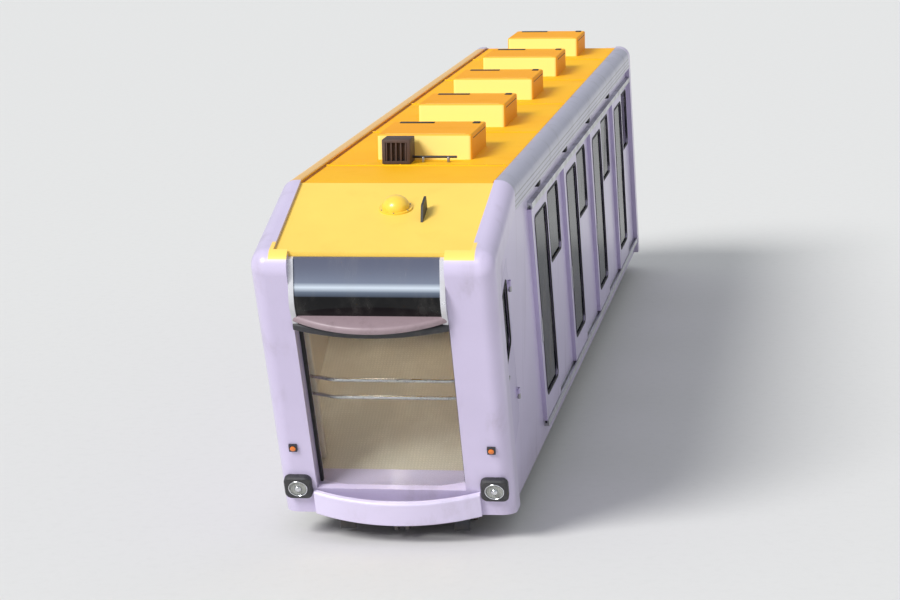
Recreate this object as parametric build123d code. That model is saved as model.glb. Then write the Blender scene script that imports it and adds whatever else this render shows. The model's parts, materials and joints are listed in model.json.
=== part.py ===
from build123d import *
import math
import os

# Funicular car with a stepped cabin, in millimetres.
# The car is stored standing on its wheels: +X points up the hill along the rails, +Y to the door side
# and +Z square to the rails. What is plumb on the hill therefore leans here by SLOPE.

# Track
SLOPE = 28.0
GAUGE = 1000.0
RAIL_HEAD_W = 60.0
RAIL_HEAD_GAP = 16.0

# Wheelsets: double-flanged wheels on the +Y rail, wide flat rollers on the other
TREAD_R = 310.0
FLANGE_H = 24.0
FLANGE_T = 26.0
FLANGE_LEAN = 8.0
ROLLER_W = 190.0
RIM_T = 52.0
WEB_T = 26.0
WEB_RISE = 20.0
WEB_FALL = 16.0
HUB_R = 108.0
HUB_W = 150.0
AXLE_R = 62.0
JOURNAL_R = 45.0
JOURNAL_GAP = 0.3
WHEELBASE = 1400.0

# Bogies
BOGIE_INSET = 1229.0
SIDE_FRAME_T = 90.0
AXLE_BOX_W = 120.0
AXLE_BOX_R = 105.0
BOX_CLEARANCE = 6.0
FRAME_END = 170.0
FRAME_FOOT = 40.0
FRAME_SHOULDER = 70.0
FRAME_TOP = 120.0
FRAME_CHAMFER_L = 130.0
FRAME_DROP = 90.0
FRAME_DROP_L = 260.0
FRAME_RISE_L = 150.0
TRANSOM_L = 300.0
TRANSOM_FOOT = 60.0
TRANSOM_TOP = 80.0
PIVOT_R = 120.0
SPRING_GAP = 20.0
SPRING_GROOVE = 14.0
SPRING_SHARE = 0.2836
JAW_T = 36.0
JAW_L = 320.0
JAW_TOP_L = 200.0
JAW_SHOULDER_Z = 60.0
JAW_TOP_Z = 125.0
JAW_R = 30.0
BRAKE_L = 220.0
BRAKE_W = 190.0
BRAKE_Z = 110.0
JAW_CLEARANCE = 12.0
FLOOR_CLEARANCE = 8.0

# Cabin in plumb measures: h runs level up the hill from the roof's kink line, v runs straight up
MODULES = 5
MODULE_H = 2700.0
FACE_H = 150.0
FLOOR_V = 600.0
FACE_TOP_V = 3245.0
FORE_BACK = 150.0
FORE_FACE_HALF_W = 855.0
WING_LAP = 60.0
KINK_H = -1477.0

# Cabin in rail measures
ROOF_Z = 3240.0
ROOF_T = 70.0
ROOF_END_GAP = 30.0
RIM_H = 30.0
HALF_W = 1060.0
SKIN_OUT = 55.0
WALL_T = 45.0
EDGE_W = 180.0
SKIRT_Z = 250.0
CORNICE_DEPTH = 260.0
EDGE_R = 140.0
RIM_R = 12.0
FOOT_R = 14.0
FLOOR_T = 50.0
FIT = 0.3

# Reaches: of a fused piece into its neighbour, of a cut past a face, past a whole piece and past the car
OVER = 5.0
CUT_OVER = 10.0
PAST = 500.0
REACH = 30000.0
NEAR = 20.0

# Portals
PORTAL_DEPTH = 330.0
PILLAR_W = 330.0
DOOR_PILLAR_EXTRA = 100.0
CORNER_R = 160.0
HEADER_T = 90.0
HEADER_DROP = 330.0
SILL_H = 290.0
SILL_LIP = 60.0
APRON_IN = 40.0
APRON_T = 70.0
SHELF_T = 50.0
BUMPER_T = 46.0
BUMPER_BOW = 150.0
BUMPER_LAP = 30.0
BUMPER_INSET = 10.0
BUMPER_R = 20.0

# Windscreens and the visor above the upper one
SCREEN_T = 14.0
SCREEN_BOW = 110.0
SCREEN_INSET = 200.0
LOW_SCREEN_BOW = 60.0
LOW_SCREEN_INSET = 120.0
LOW_SCREEN_SILL = 420.0
LOW_HEADER = 250.0
VISOR_H = 590.0
VISOR_TOP_GAP = 70.0
VISOR_FOOT_OUT = 20.0
VISOR_BELLY = 70.0
VISOR_R = 300.0
VISOR_T = 26.0
LIP_H = 80.0
LIP_OUT = 60.0
LIP_IN = 60.0
LIP_R = 28.0
TRIM_W = 46.0
TRIM_LIP = 14.0

# Sliding doors of floors 2 to 5
DOOR_W = 1050.0
DOOR_H = 1950.0
DOOR_SETBACK = 100.0
DOOR_LAP = 45.0
LEAF_T = 32.0
LEAF_GAP = 6.0
LEAF_Z0 = 476.0
LEAF_Z1 = 2790.0
LEAF_STILE = 110.0
LEAF_FOOT_RAIL = 250.0
DOOR_TRAVEL = 1300.0
TONGUE_T = 10.0
TONGUE_H = 34.0
RUNNER_H = 60.0
POST_W = 60.0
POST_OUT = 40.0

# Hinged door of the upper platform
CAB_DOOR_W = 700.0
CAB_DOOR_H = 1850.0
CAB_DOOR_SETBACK = 400.0
CAB_DOOR_GAP = 6.0
CAB_DOOR_T = 38.0
CAB_STILE = 130.0
CAB_PANE_SILL = 1000.0
HINGE_PIN_R = 9.0
HINGE_OUT = 16.0
HINGE_INSET = 20.0
HINGE_END = 300.0
LEAF_STRAP = 60.0
WALL_STRAP = 80.0
STRAP_T = 8.0
KNUCKLE_R = 15.0
KNUCKLE_L = 60.0
HINGE_PIN_GAP = 0.3

# Windows
WINDOW_R = 90.0
LAST_WINDOW_INSET = 110.0
GLASS_T = 8.0
GLASS_SET = 20.0
# One row per window of a floor: level inset of its high edge, level width, foot and head above the rails
RIGHT_WINDOWS = [(1480.0, 900.0, 1930.0, 2700.0)]
LEFT_WINDOWS = [(190.0, 1040.0, 1300.0, 2760.0), (1400.0, 1020.0, 1900.0, 2760.0)]
FIRST_LEFT_WINDOWS = [(600.0, 700.0, 1080.0, 2300.0), (1480.0, 940.0, 1900.0, 2760.0)]

# Roof fittings
HOOD_X = -1600.0
HOOD_END_GAP = 97.0
HOOD_L = 1100.0
HOOD_W = 920.0
HOOD_H = 240.0
HOOD_CORNER_R = 36.0
HOOD_EDGE = 12.0
HOOD_LID_T = 34.0
HOOD_SLOT = 26.0
HOOD_FRONT = 60.0
SLOT_INSET = 70.0
GRILLE_L = 300.0
GRILLE_W = 360.0
GRILLE_H = 250.0
GRILLE_FINS = 7
FIN_FOOT = 50.0
FIN_TOP = 25.0
CORE_INSET = 40.0
GRILLE_GAP = 60.0
GRILLE_Y = -260.0
DOME_R = 150.0
DOME_STEP = 22.0
DOME_H = 130.0
DOME_FOOT_H = 34.0
DOME_PLACE_H = -900.0
DOME_PLACE_Y = 70.0
FIN_L = 300.0
FIN_H = 130.0
FIN_T = 20.0
FIN_PLACE_H = -780.0
FIN_PLACE_Y = 330.0

# Lamps
LAMP_W = 250.0
LAMP_OUT = 60.0
LAMP_CORNER_R = 60.0
LAMP_EDGE_R = 14.0
LENS_R = 82.0
LENS_DEPTH = 20.0
LENS_T = 30.0
LAMP_RISE = 330.0
LOW_LAMP_RISE = 900.0
MARKER = 74.0
MARKER_T = 24.0
MARKER_RISE = 450.0

# Inside
SEAT_H = 440.0
SEAT_D = 430.0
BACK_H = 480.0
SEAT_T = 40.0
SEAT_DROP = 10.0
SEAT_R = 15.0
BACK_GAP = 30.0
BACK_ROOT = 90.0
BACK_ROOT_R = 60.0
BACK_T = 45.0
BACK_R = 12.0
LEG_T = 40.0
LEG_INSET = 60.0
LEG_BACK = 20.0
BENCH_SIDE_GAP = 130.0
BAR_R = 17.0
BAR_BOW = 110.0
BAR_BEND_Y = 520.0
BAR_BEND_R = 420.0
BAR_FOOT_T = 9.0
BAR_INSET = 118.0
BAR_HEIGHTS = (850.0, 1050.0)
POLE_R = 19.0
POLE_INSET = 1500.0
POLE_Y = 580.0
POLE_OVER = 60.0
COLLAR_R = 42.0
COLLAR_T = 12.0

# Chassis
BEAM_GAP = 15.0
BEAM_H = 130.0
BEAM_WEB = 14.0
BEAM_END = 20.0
BEAM_LOW_INSET = 150.0
BEAM_HIGH_INSET = 80.0
BOLSTER_L = 260.0
BOLSTER_Z0 = 600.0
BOLSTER_H = 100.0
BOLSTER_R = 12.0
CROSSERS = 5
CROSSER_W = 80.0
CROSSER_H = 100.0
HEADSTOCK_H = 70.0
HEADSTOCK_HALF_W = 700.0
HEADSTOCK_IN = 150.0
HEADSTOCK_OUT = 240.0
HEADSTOCK_R = 40.0
CLEVIS_R = 25.0
CLEVIS_GAP = 70.0
EAR_T = 30.0
EAR_R = 62.0
EAR_L = 220.0
CLEVIS_OUT = 230.0
CLEVIS_Z = 118.0
GUARD_W = 140.0
GUARD_T = 22.0
GUARD_OUT = 60.0
GUARD_Z = 22.0
GUARD_FOOT = 50.0
CASE_L = 1000.0
CASE_GAP = 260.0
CASE_R = 30.0
CASE_H = 460.0
PAD_L = 160.0
PAD_H = 20.0
PAD_INSET = 1500.0

# Values that follow from the sizes above
SIN = math.sin(math.radians(SLOPE))
COS = math.cos(math.radians(SLOPE))
STEP_V = MODULE_H * SIN / COS
END_H = FACE_H - MODULES * MODULE_H
WALL_Y = HALF_W - SKIN_OUT
WALL_IN_Y = WALL_Y - WALL_T
ROOF_HALF_W = HALF_W - EDGE_W
OPENING_Y = HALF_W - PILLAR_W
SCREEN_HALF_W = OPENING_Y - DOOR_PILLAR_EXTRA / 2
SCREEN_MID_Y = -DOOR_PILLAR_EXTRA / 2
ROOF_IN_Z = ROOF_Z - ROOF_T
RAIL_Y = (GAUGE + RAIL_HEAD_W) / 2
TREAD_W = RAIL_HEAD_W + RAIL_HEAD_GAP
WHEEL_Z = TREAD_R
GROUND_Z = -FLANGE_H
BEAM_OUT_Y = WALL_IN_Y
ROLLER_OUT_Y = RAIL_Y + ROLLER_W / 2
SPRING_R = SPRING_SHARE * (BEAM_OUT_Y - ROLLER_OUT_Y)
BOX_Y = ROLLER_OUT_Y + SPRING_GAP + SPRING_R
BEAM_IN_Y = BOX_Y + SPRING_R + BEAM_GAP
HIGH_BACK_H = FACE_H - PORTAL_DEPTH
LOW_BACK_H = END_H + PORTAL_DEPTH

parts = {}


def at(h, v):
    """Rail-frame (x, z) of the point h along the level and v up the plumb line."""
    return (h * COS + v * SIN, -h * SIN + v * COS)


def v_on(h, z):
    """Height v of the point at level place h that lies z above the rails."""
    return (z + h * SIN) / COS


def x_on(h, z):
    """Rail-frame x of the point at level place h that lies z above the rails."""
    return at(h, v_on(h, z))[0]


def plate(rows, y0, y1):
    """Plate between two y places; each row of its outline is (x, z) or (x, z, corner radius)."""
    points = [(row[0], y0, row[1]) for row in rows]
    radii = [row[2] if len(row) > 2 else 0 for row in rows]
    outline = FilletPolyline(*points, radius=radii, close=True)
    return extrude(make_face(outline), amount=y1 - y0, dir=(0, 1, 0))


def plumb_box(h0, h1, v0, v1, y0, y1, r=0):
    """Box with level and plumb sides, its corners rounded where r is given."""
    rows = [(*at(h, v), r) for h, v in ((h0, v0), (h1, v0), (h1, v1), (h0, v1))]
    return plate(rows, y0, y1)


def slope_box(h0, h1, z0, z1, y0, y1, r=0):
    """Box with plumb ends whose top and foot run parallel to the rails."""
    rows = [(x_on(h, z), z, r) for h, z in ((h0, z0), (h1, z0), (h1, z1), (h0, z1))]
    return plate(rows, y0, y1)


def block(x0, x1, y0, y1, z0, z1):
    """Box square to the rails."""
    return Pos((x0 + x1) / 2, (y0 + y1) / 2, (z0 + z1) / 2) * Box(x1 - x0, y1 - y0, z1 - z0)


def side_block(side, x0, x1, y0, y1, z0, z1):
    """Box square to the rails, on the side +1 or -1 of the car's middle."""
    low, high = sorted((side * y0, side * y1))
    return block(x0, x1, low, high, z0, z1)


def cross_bar(x, z, y0, y1, r):
    """Round bar across the car."""
    return Pos(x, (y0 + y1) / 2, z) * Rot(90, 0, 0) * Cylinder(r, abs(y1 - y0))


def upright(x, y, z, r, height):
    """Round bar that stands on (x, y, z), square to the rails."""
    return Pos(x, y, z) * Cylinder(r, height, align=(Align.CENTER, Align.CENTER, Align.MIN))


def plumb_rod(h, v0, v1, y, r):
    """Round bar that stands plumb on the hill."""
    x, z = at(h, (v0 + v1) / 2)
    return Pos(x, y, z) * Rot(0, SLOPE, 0) * Cylinder(r, v1 - v0)


def with_mirror(shape):
    """The shape joined to its mirror image across the car's middle."""
    return shape + mirror(shape, about=Plane.XZ)


def pair(shape):
    """The shape and its mirror image as two solids."""
    return [shape, mirror(shape, about=Plane.XZ)]


def bowed_band(edge_h, outward, bow, half_w, depths, heights, r=0, flat_back=False):
    """Band bowed in plan, with its outer long edges rounded; its back may be flat."""
    x, z = at(edge_h, heights[0])
    ground = Plane(origin=(x, 0, z), x_dir=(COS, 0, -SIN), z_dir=(SIN, 0, COS))
    inner, outer = [[(outward * d, -half_w), (outward * (d + bow), 0), (outward * d, half_w)] for d in depths]
    back = Line(inner[0], inner[2]) if flat_back else ThreePointArc(*inner)
    outline = Curve() + [back, Line(inner[2], outer[2]), ThreePointArc(*outer), Line(outer[0], inner[0])]
    band = extrude(make_face(ground * outline), amount=heights[1] - heights[0], dir=(SIN, 0, COS))
    if r:
        arcs = band.edges().filter_by(GeomType.CIRCLE)
        reach = [abs(edge.center().X * COS - edge.center().Z * SIN - edge_h) for edge in arcs]
        band = fillet([edge for edge, far in zip(arcs, reach) if far > max(reach) - 1], r)
    return band


def keep(name, *shapes):
    """Stores one piece's solids under its name."""
    solids = []
    for shape in shapes:
        for item in (shape if isinstance(shape, list) else [shape]):
            solids.extend(item.solids())
    parts[name] = solids


# Floors: (level place of the high end, height), and the lines that the roof follows
floors = [(FACE_H - k * MODULE_H, FLOOR_V - k * STEP_V) for k in range(MODULES)]
KINK_V = v_on(KINK_H, ROOF_Z)
KINK_X = x_on(KINK_H, ROOF_Z)
FORE_FALL = (FACE_TOP_V - KINK_V) / (FACE_H - KINK_H)
FORE_ANGLE = SLOPE - math.degrees(math.atan(FORE_FALL))
LOW_TOP_V = v_on(END_H, ROOF_Z)
LOW_FOOT_V = v_on(END_H, SKIRT_Z)
HIGH_FOOT_V = v_on(FACE_H, SKIRT_Z)
CHASSIS_X0 = x_on(LOW_BACK_H, SKIRT_Z)
CHASSIS_X1 = x_on(HIGH_BACK_H, SKIRT_Z)


def fore_v(h):
    """Height of the forehead's top at level place h."""
    return KINK_V + (h - KINK_H) * FORE_FALL


def stepped_floor():
    """Level treads and plumb risers in one folded plate."""
    top = []
    under = []
    for k, (h, v) in enumerate(floors):
        high = HIGH_BACK_H - FIT if k == 0 else h
        low = LOW_BACK_H + FIT if k == MODULES - 1 else h - MODULE_H
        high_under = high if k == 0 else high + FLOOR_T
        low_under = low if k == MODULES - 1 else low + FLOOR_T
        top += [at(high, v), at(low, v)]
        under += [at(high_under, v - FLOOR_T), at(low_under, v - FLOOR_T)]
    return plate(top + under[::-1], -WALL_IN_Y, WALL_IN_Y)


keep("step_floor", stepped_floor())

# Side walls
cab_h1 = FACE_H - CAB_DOOR_SETBACK
cab_h0 = cab_h1 - CAB_DOOR_W
doors = [(h - DOOR_SETBACK, v) for h, v in floors[1:]]
LAST_WINDOW_H = LOW_BACK_H + LAST_WINDOW_INSET


def wall_blank(y0, y1):
    """One side's whole outline between the portals, under the roof and the forehead."""
    high = HIGH_BACK_H - FIT
    low = LOW_BACK_H + FIT
    under_fore = ROOF_T / math.cos(math.atan(FORE_FALL)) + FIT
    rows = [at(high, v_on(high, SKIRT_Z)), at(high, fore_v(high) - under_fore), at(KINK_H, v_on(KINK_H, ROOF_IN_Z - FIT)),
            at(low, v_on(low, ROOF_IN_Z - FIT)), at(low, v_on(low, SKIRT_Z))]
    return plate(rows, y0, y1)


def window_rows(tables):
    """Level and rail limits (h0, h1, z0, z1) of one side's windows, from a table for each floor."""
    rows = []
    for (h, _), table in zip(floors, tables):
        for inset, width, z0, z1 in table:
            rows.append((max(h - inset - width, LAST_WINDOW_H), h - inset, z0, z1))
    return rows


right_rows = window_rows([[]] + [RIGHT_WINDOWS] * (MODULES - 1))
left_rows = window_rows([FIRST_LEFT_WINDOWS] + [LEFT_WINDOWS] * (MODULES - 1))
cut_y = (WALL_IN_Y - CUT_OVER, WALL_Y + CUT_OVER)

right_wall = wall_blank(WALL_IN_Y + FIT, WALL_Y)
right_wall -= plumb_box(cab_h0, cab_h1, FLOOR_V, FLOOR_V + CAB_DOOR_H, *cut_y)
for h, v in doors:
    right_wall -= plumb_box(h - DOOR_W, h, v, v + DOOR_H, *cut_y)
for h0, h1, z0, z1 in right_rows:
    right_wall -= slope_box(h0, h1, z0, z1, *cut_y, WINDOW_R)
for h, v in doors:
    post_h = h + DOOR_LAP + LEAF_GAP
    right_wall += slope_box(post_h, post_h + POST_W, LEAF_Z0, LEAF_Z1, WALL_Y - 5, WALL_Y + POST_OUT)
keep("side_wall_right", right_wall)

left_wall = wall_blank(-WALL_Y, -WALL_IN_Y - FIT)
for h0, h1, z0, z1 in left_rows:
    left_wall -= slope_box(h0, h1, z0, z1, -cut_y[1], -cut_y[0], WINDOW_R)
keep("side_wall_left", left_wall)


def panes(rows, y0):
    """Glass panes that fit the windows with a hair of room."""
    return [slope_box(h0 + FIT, h1 - FIT, z0 + FIT, z1 - FIT, y0, y0 + GLASS_T, WINDOW_R) for h0, h1, z0, z1 in rows]


keep("windows_right", panes(right_rows, WALL_Y - GLASS_SET))
keep("windows_left", panes(left_rows, GLASS_SET - WALL_Y - GLASS_T))

# Sliding doors: leaves with plumb ends that run along the wall, parallel to the rails
LEAF_Y0 = WALL_Y + LEAF_GAP
LEAF_Y1 = LEAF_Y0 + LEAF_T
TONGUE_Y0 = (LEAF_Y0 + LEAF_Y1 - TONGUE_T) / 2
TONGUE_Y1 = TONGUE_Y0 + TONGUE_T
TONGUE_INSET = 100.0
for number, (h, v) in enumerate(doors, start=2):
    h0 = h - DOOR_W - DOOR_LAP
    h1 = h + DOOR_LAP
    pane = (h0 + LEAF_STILE, h1 - LEAF_STILE, LEAF_Z0 + LEAF_FOOT_RAIL, LEAF_Z1 - LEAF_STILE)
    leaf = slope_box(h0, h1, LEAF_Z0, LEAF_Z1, LEAF_Y0, LEAF_Y1)
    leaf -= slope_box(*pane, LEAF_Y0 - 5, LEAF_Y1 + 5, WINDOW_R)
    for z0, z1 in ((LEAF_Z0 - TONGUE_H, LEAF_Z0 + 5), (LEAF_Z1 - 5, LEAF_Z1 + TONGUE_H)):
        leaf += slope_box(h0 + TONGUE_INSET, h1 - TONGUE_INSET, z0, z1, TONGUE_Y0, TONGUE_Y1)
    keep(f"door_{number}_leaf", leaf)
    glass_y = (LEAF_Y0 + LEAF_Y1 - GLASS_T) / 2
    keep(f"door_{number}_glass", slope_box(pane[0] + FIT, pane[1] - FIT, pane[2] + FIT, pane[3] - FIT,
                                           glass_y, glass_y + GLASS_T, WINDOW_R))

# Runners: a channel above the leaves, and one below that carries them
RUNNER_Y = (WALL_Y + FIT, HALF_W - LEAF_GAP)
GROOVE_Y = (TONGUE_Y0 - LEAF_GAP, TONGUE_Y1 + LEAF_GAP)
runner_h = (LOW_BACK_H + FIT, floors[1][0] - LEAF_GAP)


def runner(z0, z1, groove_z0, groove_z1):
    """Channel along the wall with a groove for the leaves' tongues."""
    channel = slope_box(*runner_h, z0, z1, *RUNNER_Y)
    return channel - slope_box(runner_h[0] - PAST, runner_h[1] + PAST, groove_z0, groove_z1, *GROOVE_Y)


head_z = LEAF_Z1 + LEAF_GAP
foot_z = LEAF_Z0 - LEAF_GAP
keep("door_runner_top", runner(head_z, head_z + RUNNER_H, LEAF_Z1, LEAF_Z1 + TONGUE_H + LEAF_GAP))
keep("door_runner_foot", runner(foot_z - RUNNER_H, foot_z, LEAF_Z0 - TONGUE_H - FIT, LEAF_Z0))

# Hinged door of the upper platform, flush with the wall, on two knuckle hinges with a plumb axis
hinge_h = cab_h0 + HINGE_INSET
hinge_y = WALL_Y + HINGE_OUT
cab_pane = (cab_h0 + CAB_STILE, cab_h1 - CAB_STILE, FLOOR_V + CAB_PANE_SILL, FLOOR_V + CAB_DOOR_H - CAB_STILE)
cab_door = plumb_box(cab_h0 + CAB_DOOR_GAP, cab_h1 - CAB_DOOR_GAP, FLOOR_V + CAB_DOOR_GAP,
                     FLOOR_V + CAB_DOOR_H - CAB_DOOR_GAP, WALL_Y - CAB_DOOR_T, WALL_Y)
cab_door -= plumb_box(*cab_pane, WALL_Y - CAB_DOOR_T - 5, WALL_Y + 5, WINDOW_R)
wall_knuckles = []
for v in (FLOOR_V + HINGE_END, FLOOR_V + CAB_DOOR_H - HINGE_END):
    knuckle = plumb_rod(hinge_h, v, v + KNUCKLE_L, hinge_y, KNUCKLE_R)
    knuckle += plumb_box(hinge_h, hinge_h + LEAF_STRAP, v, v + KNUCKLE_L, WALL_Y - OVER, WALL_Y + STRAP_T)
    cab_door += knuckle - plumb_rod(hinge_h, v - 5, v + KNUCKLE_L + 5, hinge_y, HINGE_PIN_R + HINGE_PIN_GAP)
    below = v - FIT - KNUCKLE_L
    fixed = plumb_rod(hinge_h, below, v - FIT, hinge_y, KNUCKLE_R)
    fixed += plumb_rod(hinge_h, below, v + KNUCKLE_L - 5, hinge_y, HINGE_PIN_R)
    fixed += plumb_box(hinge_h - WALL_STRAP, hinge_h, below, v - FIT, WALL_Y + FIT, WALL_Y + STRAP_T)
    wall_knuckles.append(fixed)
keep("door_1_leaf", cab_door)
keep("cab_door_hinges", wall_knuckles)
keep("door_1_glass", plumb_box(cab_pane[0] + FIT, cab_pane[1] - FIT, cab_pane[2] + FIT, cab_pane[3] - FIT,
                               WALL_Y - GLASS_SET, WALL_Y - GLASS_SET + GLASS_T, WINDOW_R))

# Roof: the main panel along the rails and the flatter forehead above the upper platform,
# parted and joined to their edges on the plane that halves the kink
HALF_KINK = math.radians(FORE_ANGLE / 2)
mitre_up = (math.sin(HALF_KINK), math.cos(HALF_KINK))
mitre_out = (math.cos(HALF_KINK), -math.sin(HALF_KINK))


def past_mitre(side):
    """All that lies uphill (+1) or downhill (-1) of the kink's halving plane, but for half a fit."""
    x, z = KINK_X + side * FIT / 2 * mitre_out[0], ROOF_Z + side * FIT / 2 * mitre_out[1]
    rows = [(x - REACH * mitre_up[0], z - REACH * mitre_up[1]), (x + REACH * mitre_up[0], z + REACH * mitre_up[1]),
            (x + side * REACH, z + REACH), (x + side * REACH, z - REACH)]
    return plate(rows, -HALF_W - FIT, HALF_W + FIT)


uphill = past_mitre(1)
downhill = past_mitre(-1)
bend = Pos(KINK_X, 0, ROOF_Z) * Rot(0, FORE_ANGLE, 0) * Pos(-KINK_X, 0, -ROOF_Z)
low_edge_x = x_on(END_H, ROOF_Z) + ROOF_END_GAP
roof_blank = block(low_edge_x, KINK_X + PAST, -ROOF_HALF_W, ROOF_HALF_W, ROOF_IN_Z, ROOF_Z)
keep("roof_panel", roof_blank & downhill)

# The forehead narrows towards the face
FORE_L = math.hypot(FACE_H - KINK_H, FACE_TOP_V - KINK_V)
fore_end = FORE_L - FORE_BACK / math.cos(math.atan(FORE_FALL)) - ROOF_T * FORE_FALL - FIT
fore_outline = [(-PAST, -ROOF_HALF_W), (0.0, -ROOF_HALF_W), (fore_end, -FORE_FACE_HALF_W),
                (fore_end, FORE_FACE_HALF_W), (0.0, ROOF_HALF_W), (-PAST, ROOF_HALF_W)]


def fore_prism(grow, z0, z1):
    """The forehead's plan, grown by a fit, between two heights over its top."""
    rows = [(KINK_X + x + (grow if x > 0 else 0), y + math.copysign(grow, y), ROOF_Z + z0) for x, y in fore_outline]
    body = extrude(make_face(Polyline(*rows, close=True)), amount=z1 - z0, dir=(0, 0, 1))
    return bend * body


keep("forehead_panel", fore_prism(0, -ROOF_T, 0) & uphill)


def edge_section(x):
    """Cross section of the rounded roof edge on the +Y side."""
    top = ROOF_Z + RIM_H
    inner = ROOF_HALF_W + FIT
    foot = ROOF_Z - CORNICE_DEPTH
    rows = [(inner, ROOF_IN_Z, 0), (inner, top, RIM_R), (HALF_W, top, EDGE_R), (HALF_W, foot, FOOT_R),
            (WALL_Y + FIT, foot, 0), (WALL_Y + FIT, ROOF_IN_Z, 0)]
    points = [(x, y, z) for y, z, _ in rows]
    return make_face(FilletPolyline(*points, radius=[row[2] for row in rows], close=True))


cornice_x0 = x_on(LOW_BACK_H, ROOF_Z) - PAST
cornice = extrude(edge_section(cornice_x0), amount=KINK_X + PAST - cornice_x0, dir=(1, 0, 0))
past_low = plumb_box(END_H - REACH, LOW_BACK_H + FIT, LOW_TOP_V - REACH, LOW_TOP_V + REACH, -REACH, REACH)
cornice = (cornice & downhill) - past_low
keep("cornice_right", cornice)
keep("cornice_left", mirror(cornice, about=Plane.XZ))

# Upper portal: pillars whose tops fold back along the forehead to meet the cornices
def bend_at(h, rise):
    """Point over level place h that lies rise above the forehead's top, square to it."""
    return at(h, fore_v(h) + rise / math.cos(math.atan(FORE_FALL)))


def is_outline(edge):
    """Whether the edge runs along the top or the front of the portal's side."""
    x, z = edge.center().X, edge.center().Z
    h = x * COS - z * SIN
    v = x * SIN + z * COS
    return v > fore_v(h) - NEAR or h > FACE_H - NEAR


def upper_side(inner_y):
    """The +Y side of the upper portal, its pillar reaching in to inner_y, without sill and header."""
    far = KINK_H - PAST
    skirt = at(HIGH_BACK_H, v_on(HIGH_BACK_H, SKIRT_Z))
    outline = [(*at(FACE_H, HIGH_FOOT_V), 0), (*bend_at(FACE_H, RIM_H), CORNER_R), (*bend_at(far, RIM_H), 0)]
    skin = outline + [(*bend_at(far, -CORNICE_DEPTH), 0), (*bend_at(HIGH_BACK_H, -CORNICE_DEPTH), 0), (*skirt, 0)]
    pillar = outline[:2] + [(*bend_at(HIGH_BACK_H, RIM_H), 0), (*skirt, 0)]
    over = [bend_at(far, -ROOF_T), bend_at(FACE_H + PAST, -ROOF_T), bend_at(FACE_H + PAST, PAST), bend_at(far, PAST)]
    wing = plate(skin, FORE_FACE_HALF_W - WING_LAP, HALF_W) & plate(over, 0, HALF_W)
    side = (plate(skin, WALL_Y + FIT, HALF_W) + plate(pillar, inner_y, HALF_W) + wing) & uphill
    outer = side.edges().filter_by_position(Axis.Y, HALF_W - 0.1, HALF_W + 0.1)
    side = fillet([edge for edge in outer if is_outline(edge)], EDGE_R)
    return side - fore_prism(FIT, -ROOF_T - FIT, RIM_H + CUT_OVER)


# The pillar on the door side is the wider one
upper_portal = upper_side(OPENING_Y - DOOR_PILLAR_EXTRA) + mirror(upper_side(OPENING_Y), about=Plane.XZ)
header_front = FACE_H - FORE_BACK
header_rows = [at(header_front, FACE_TOP_V - HEADER_DROP), bend_at(header_front, -ROOF_T - FIT),
               bend_at(header_front - HEADER_T, -ROOF_T - FIT), at(header_front - HEADER_T, FACE_TOP_V - HEADER_DROP)]
upper_portal += plate(header_rows, -OPENING_Y - OVER, OPENING_Y + OVER)
upper_portal += plumb_box(HIGH_BACK_H, FACE_H - SILL_LIP, HIGH_FOOT_V + SILL_LIP, FLOOR_V, -OPENING_Y - OVER, OPENING_Y + OVER)
upper_portal += plumb_box(FACE_H - SILL_LIP, FACE_H, HIGH_FOOT_V, HIGH_FOOT_V + SILL_H, -OPENING_Y - OVER, OPENING_Y + OVER)
keep("portal_upper", upper_portal)

# Lower portal: full-height pillars, an apron below the windscreen and a header above it
def low_plate(h0, h1, v0, z1, y0, y1, r=0):
    """Upright slab at the lower end whose top follows the roof's slope."""
    rows = [(*at(h0, v0), 0), (x_on(h0, z1), z1, r), (x_on(h1, z1), z1, 0), (*at(h1, v_on(h1, SKIRT_Z) if v0 == LOW_FOOT_V else v0), 0)]
    return plate(rows, y0, y1)


low_half = low_plate(END_H, LOW_BACK_H, LOW_FOOT_V, ROOF_Z + RIM_H, OPENING_Y, HALF_W, CORNER_R)
low_edges = low_half.edges().filter_by_position(Axis.Y, HALF_W - 0.1, HALF_W + 0.1)
low_outline = [edge for edge in low_edges
               if edge.center().Z > ROOF_Z - CORNER_R or edge.center().X * COS - edge.center().Z * SIN < END_H + NEAR]
low_half = fillet(low_outline, EDGE_R)
low_half -= block(low_edge_x - FIT, low_edge_x + PAST, 0, ROOF_HALF_W + FIT, ROOF_IN_Z - FIT, ROOF_Z + PAST)
lower_portal = with_mirror(low_half)
low_floor_v = floors[-1][1]
screen_sill_v = low_floor_v + LOW_SCREEN_SILL
apron = low_plate(END_H + APRON_IN, END_H + APRON_IN + APRON_T, LOW_FOOT_V, ROOF_IN_Z, -OPENING_Y - OVER, OPENING_Y + OVER)
apron -= plumb_box(END_H - PAST, END_H + PAST, screen_sill_v, LOW_TOP_V - LOW_HEADER, -OPENING_Y, OPENING_Y)
lower_portal += apron - block(low_edge_x - PAST, low_edge_x + PAST, -HALF_W, HALF_W, ROOF_IN_Z - FIT, ROOF_Z + PAST)
sill_shelf = plumb_box(END_H + APRON_IN, LOW_BACK_H, screen_sill_v - SHELF_T, screen_sill_v, -OPENING_Y - OVER, OPENING_Y + OVER)
lower_portal += sill_shelf
keep("portal_lower", lower_portal)

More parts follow.
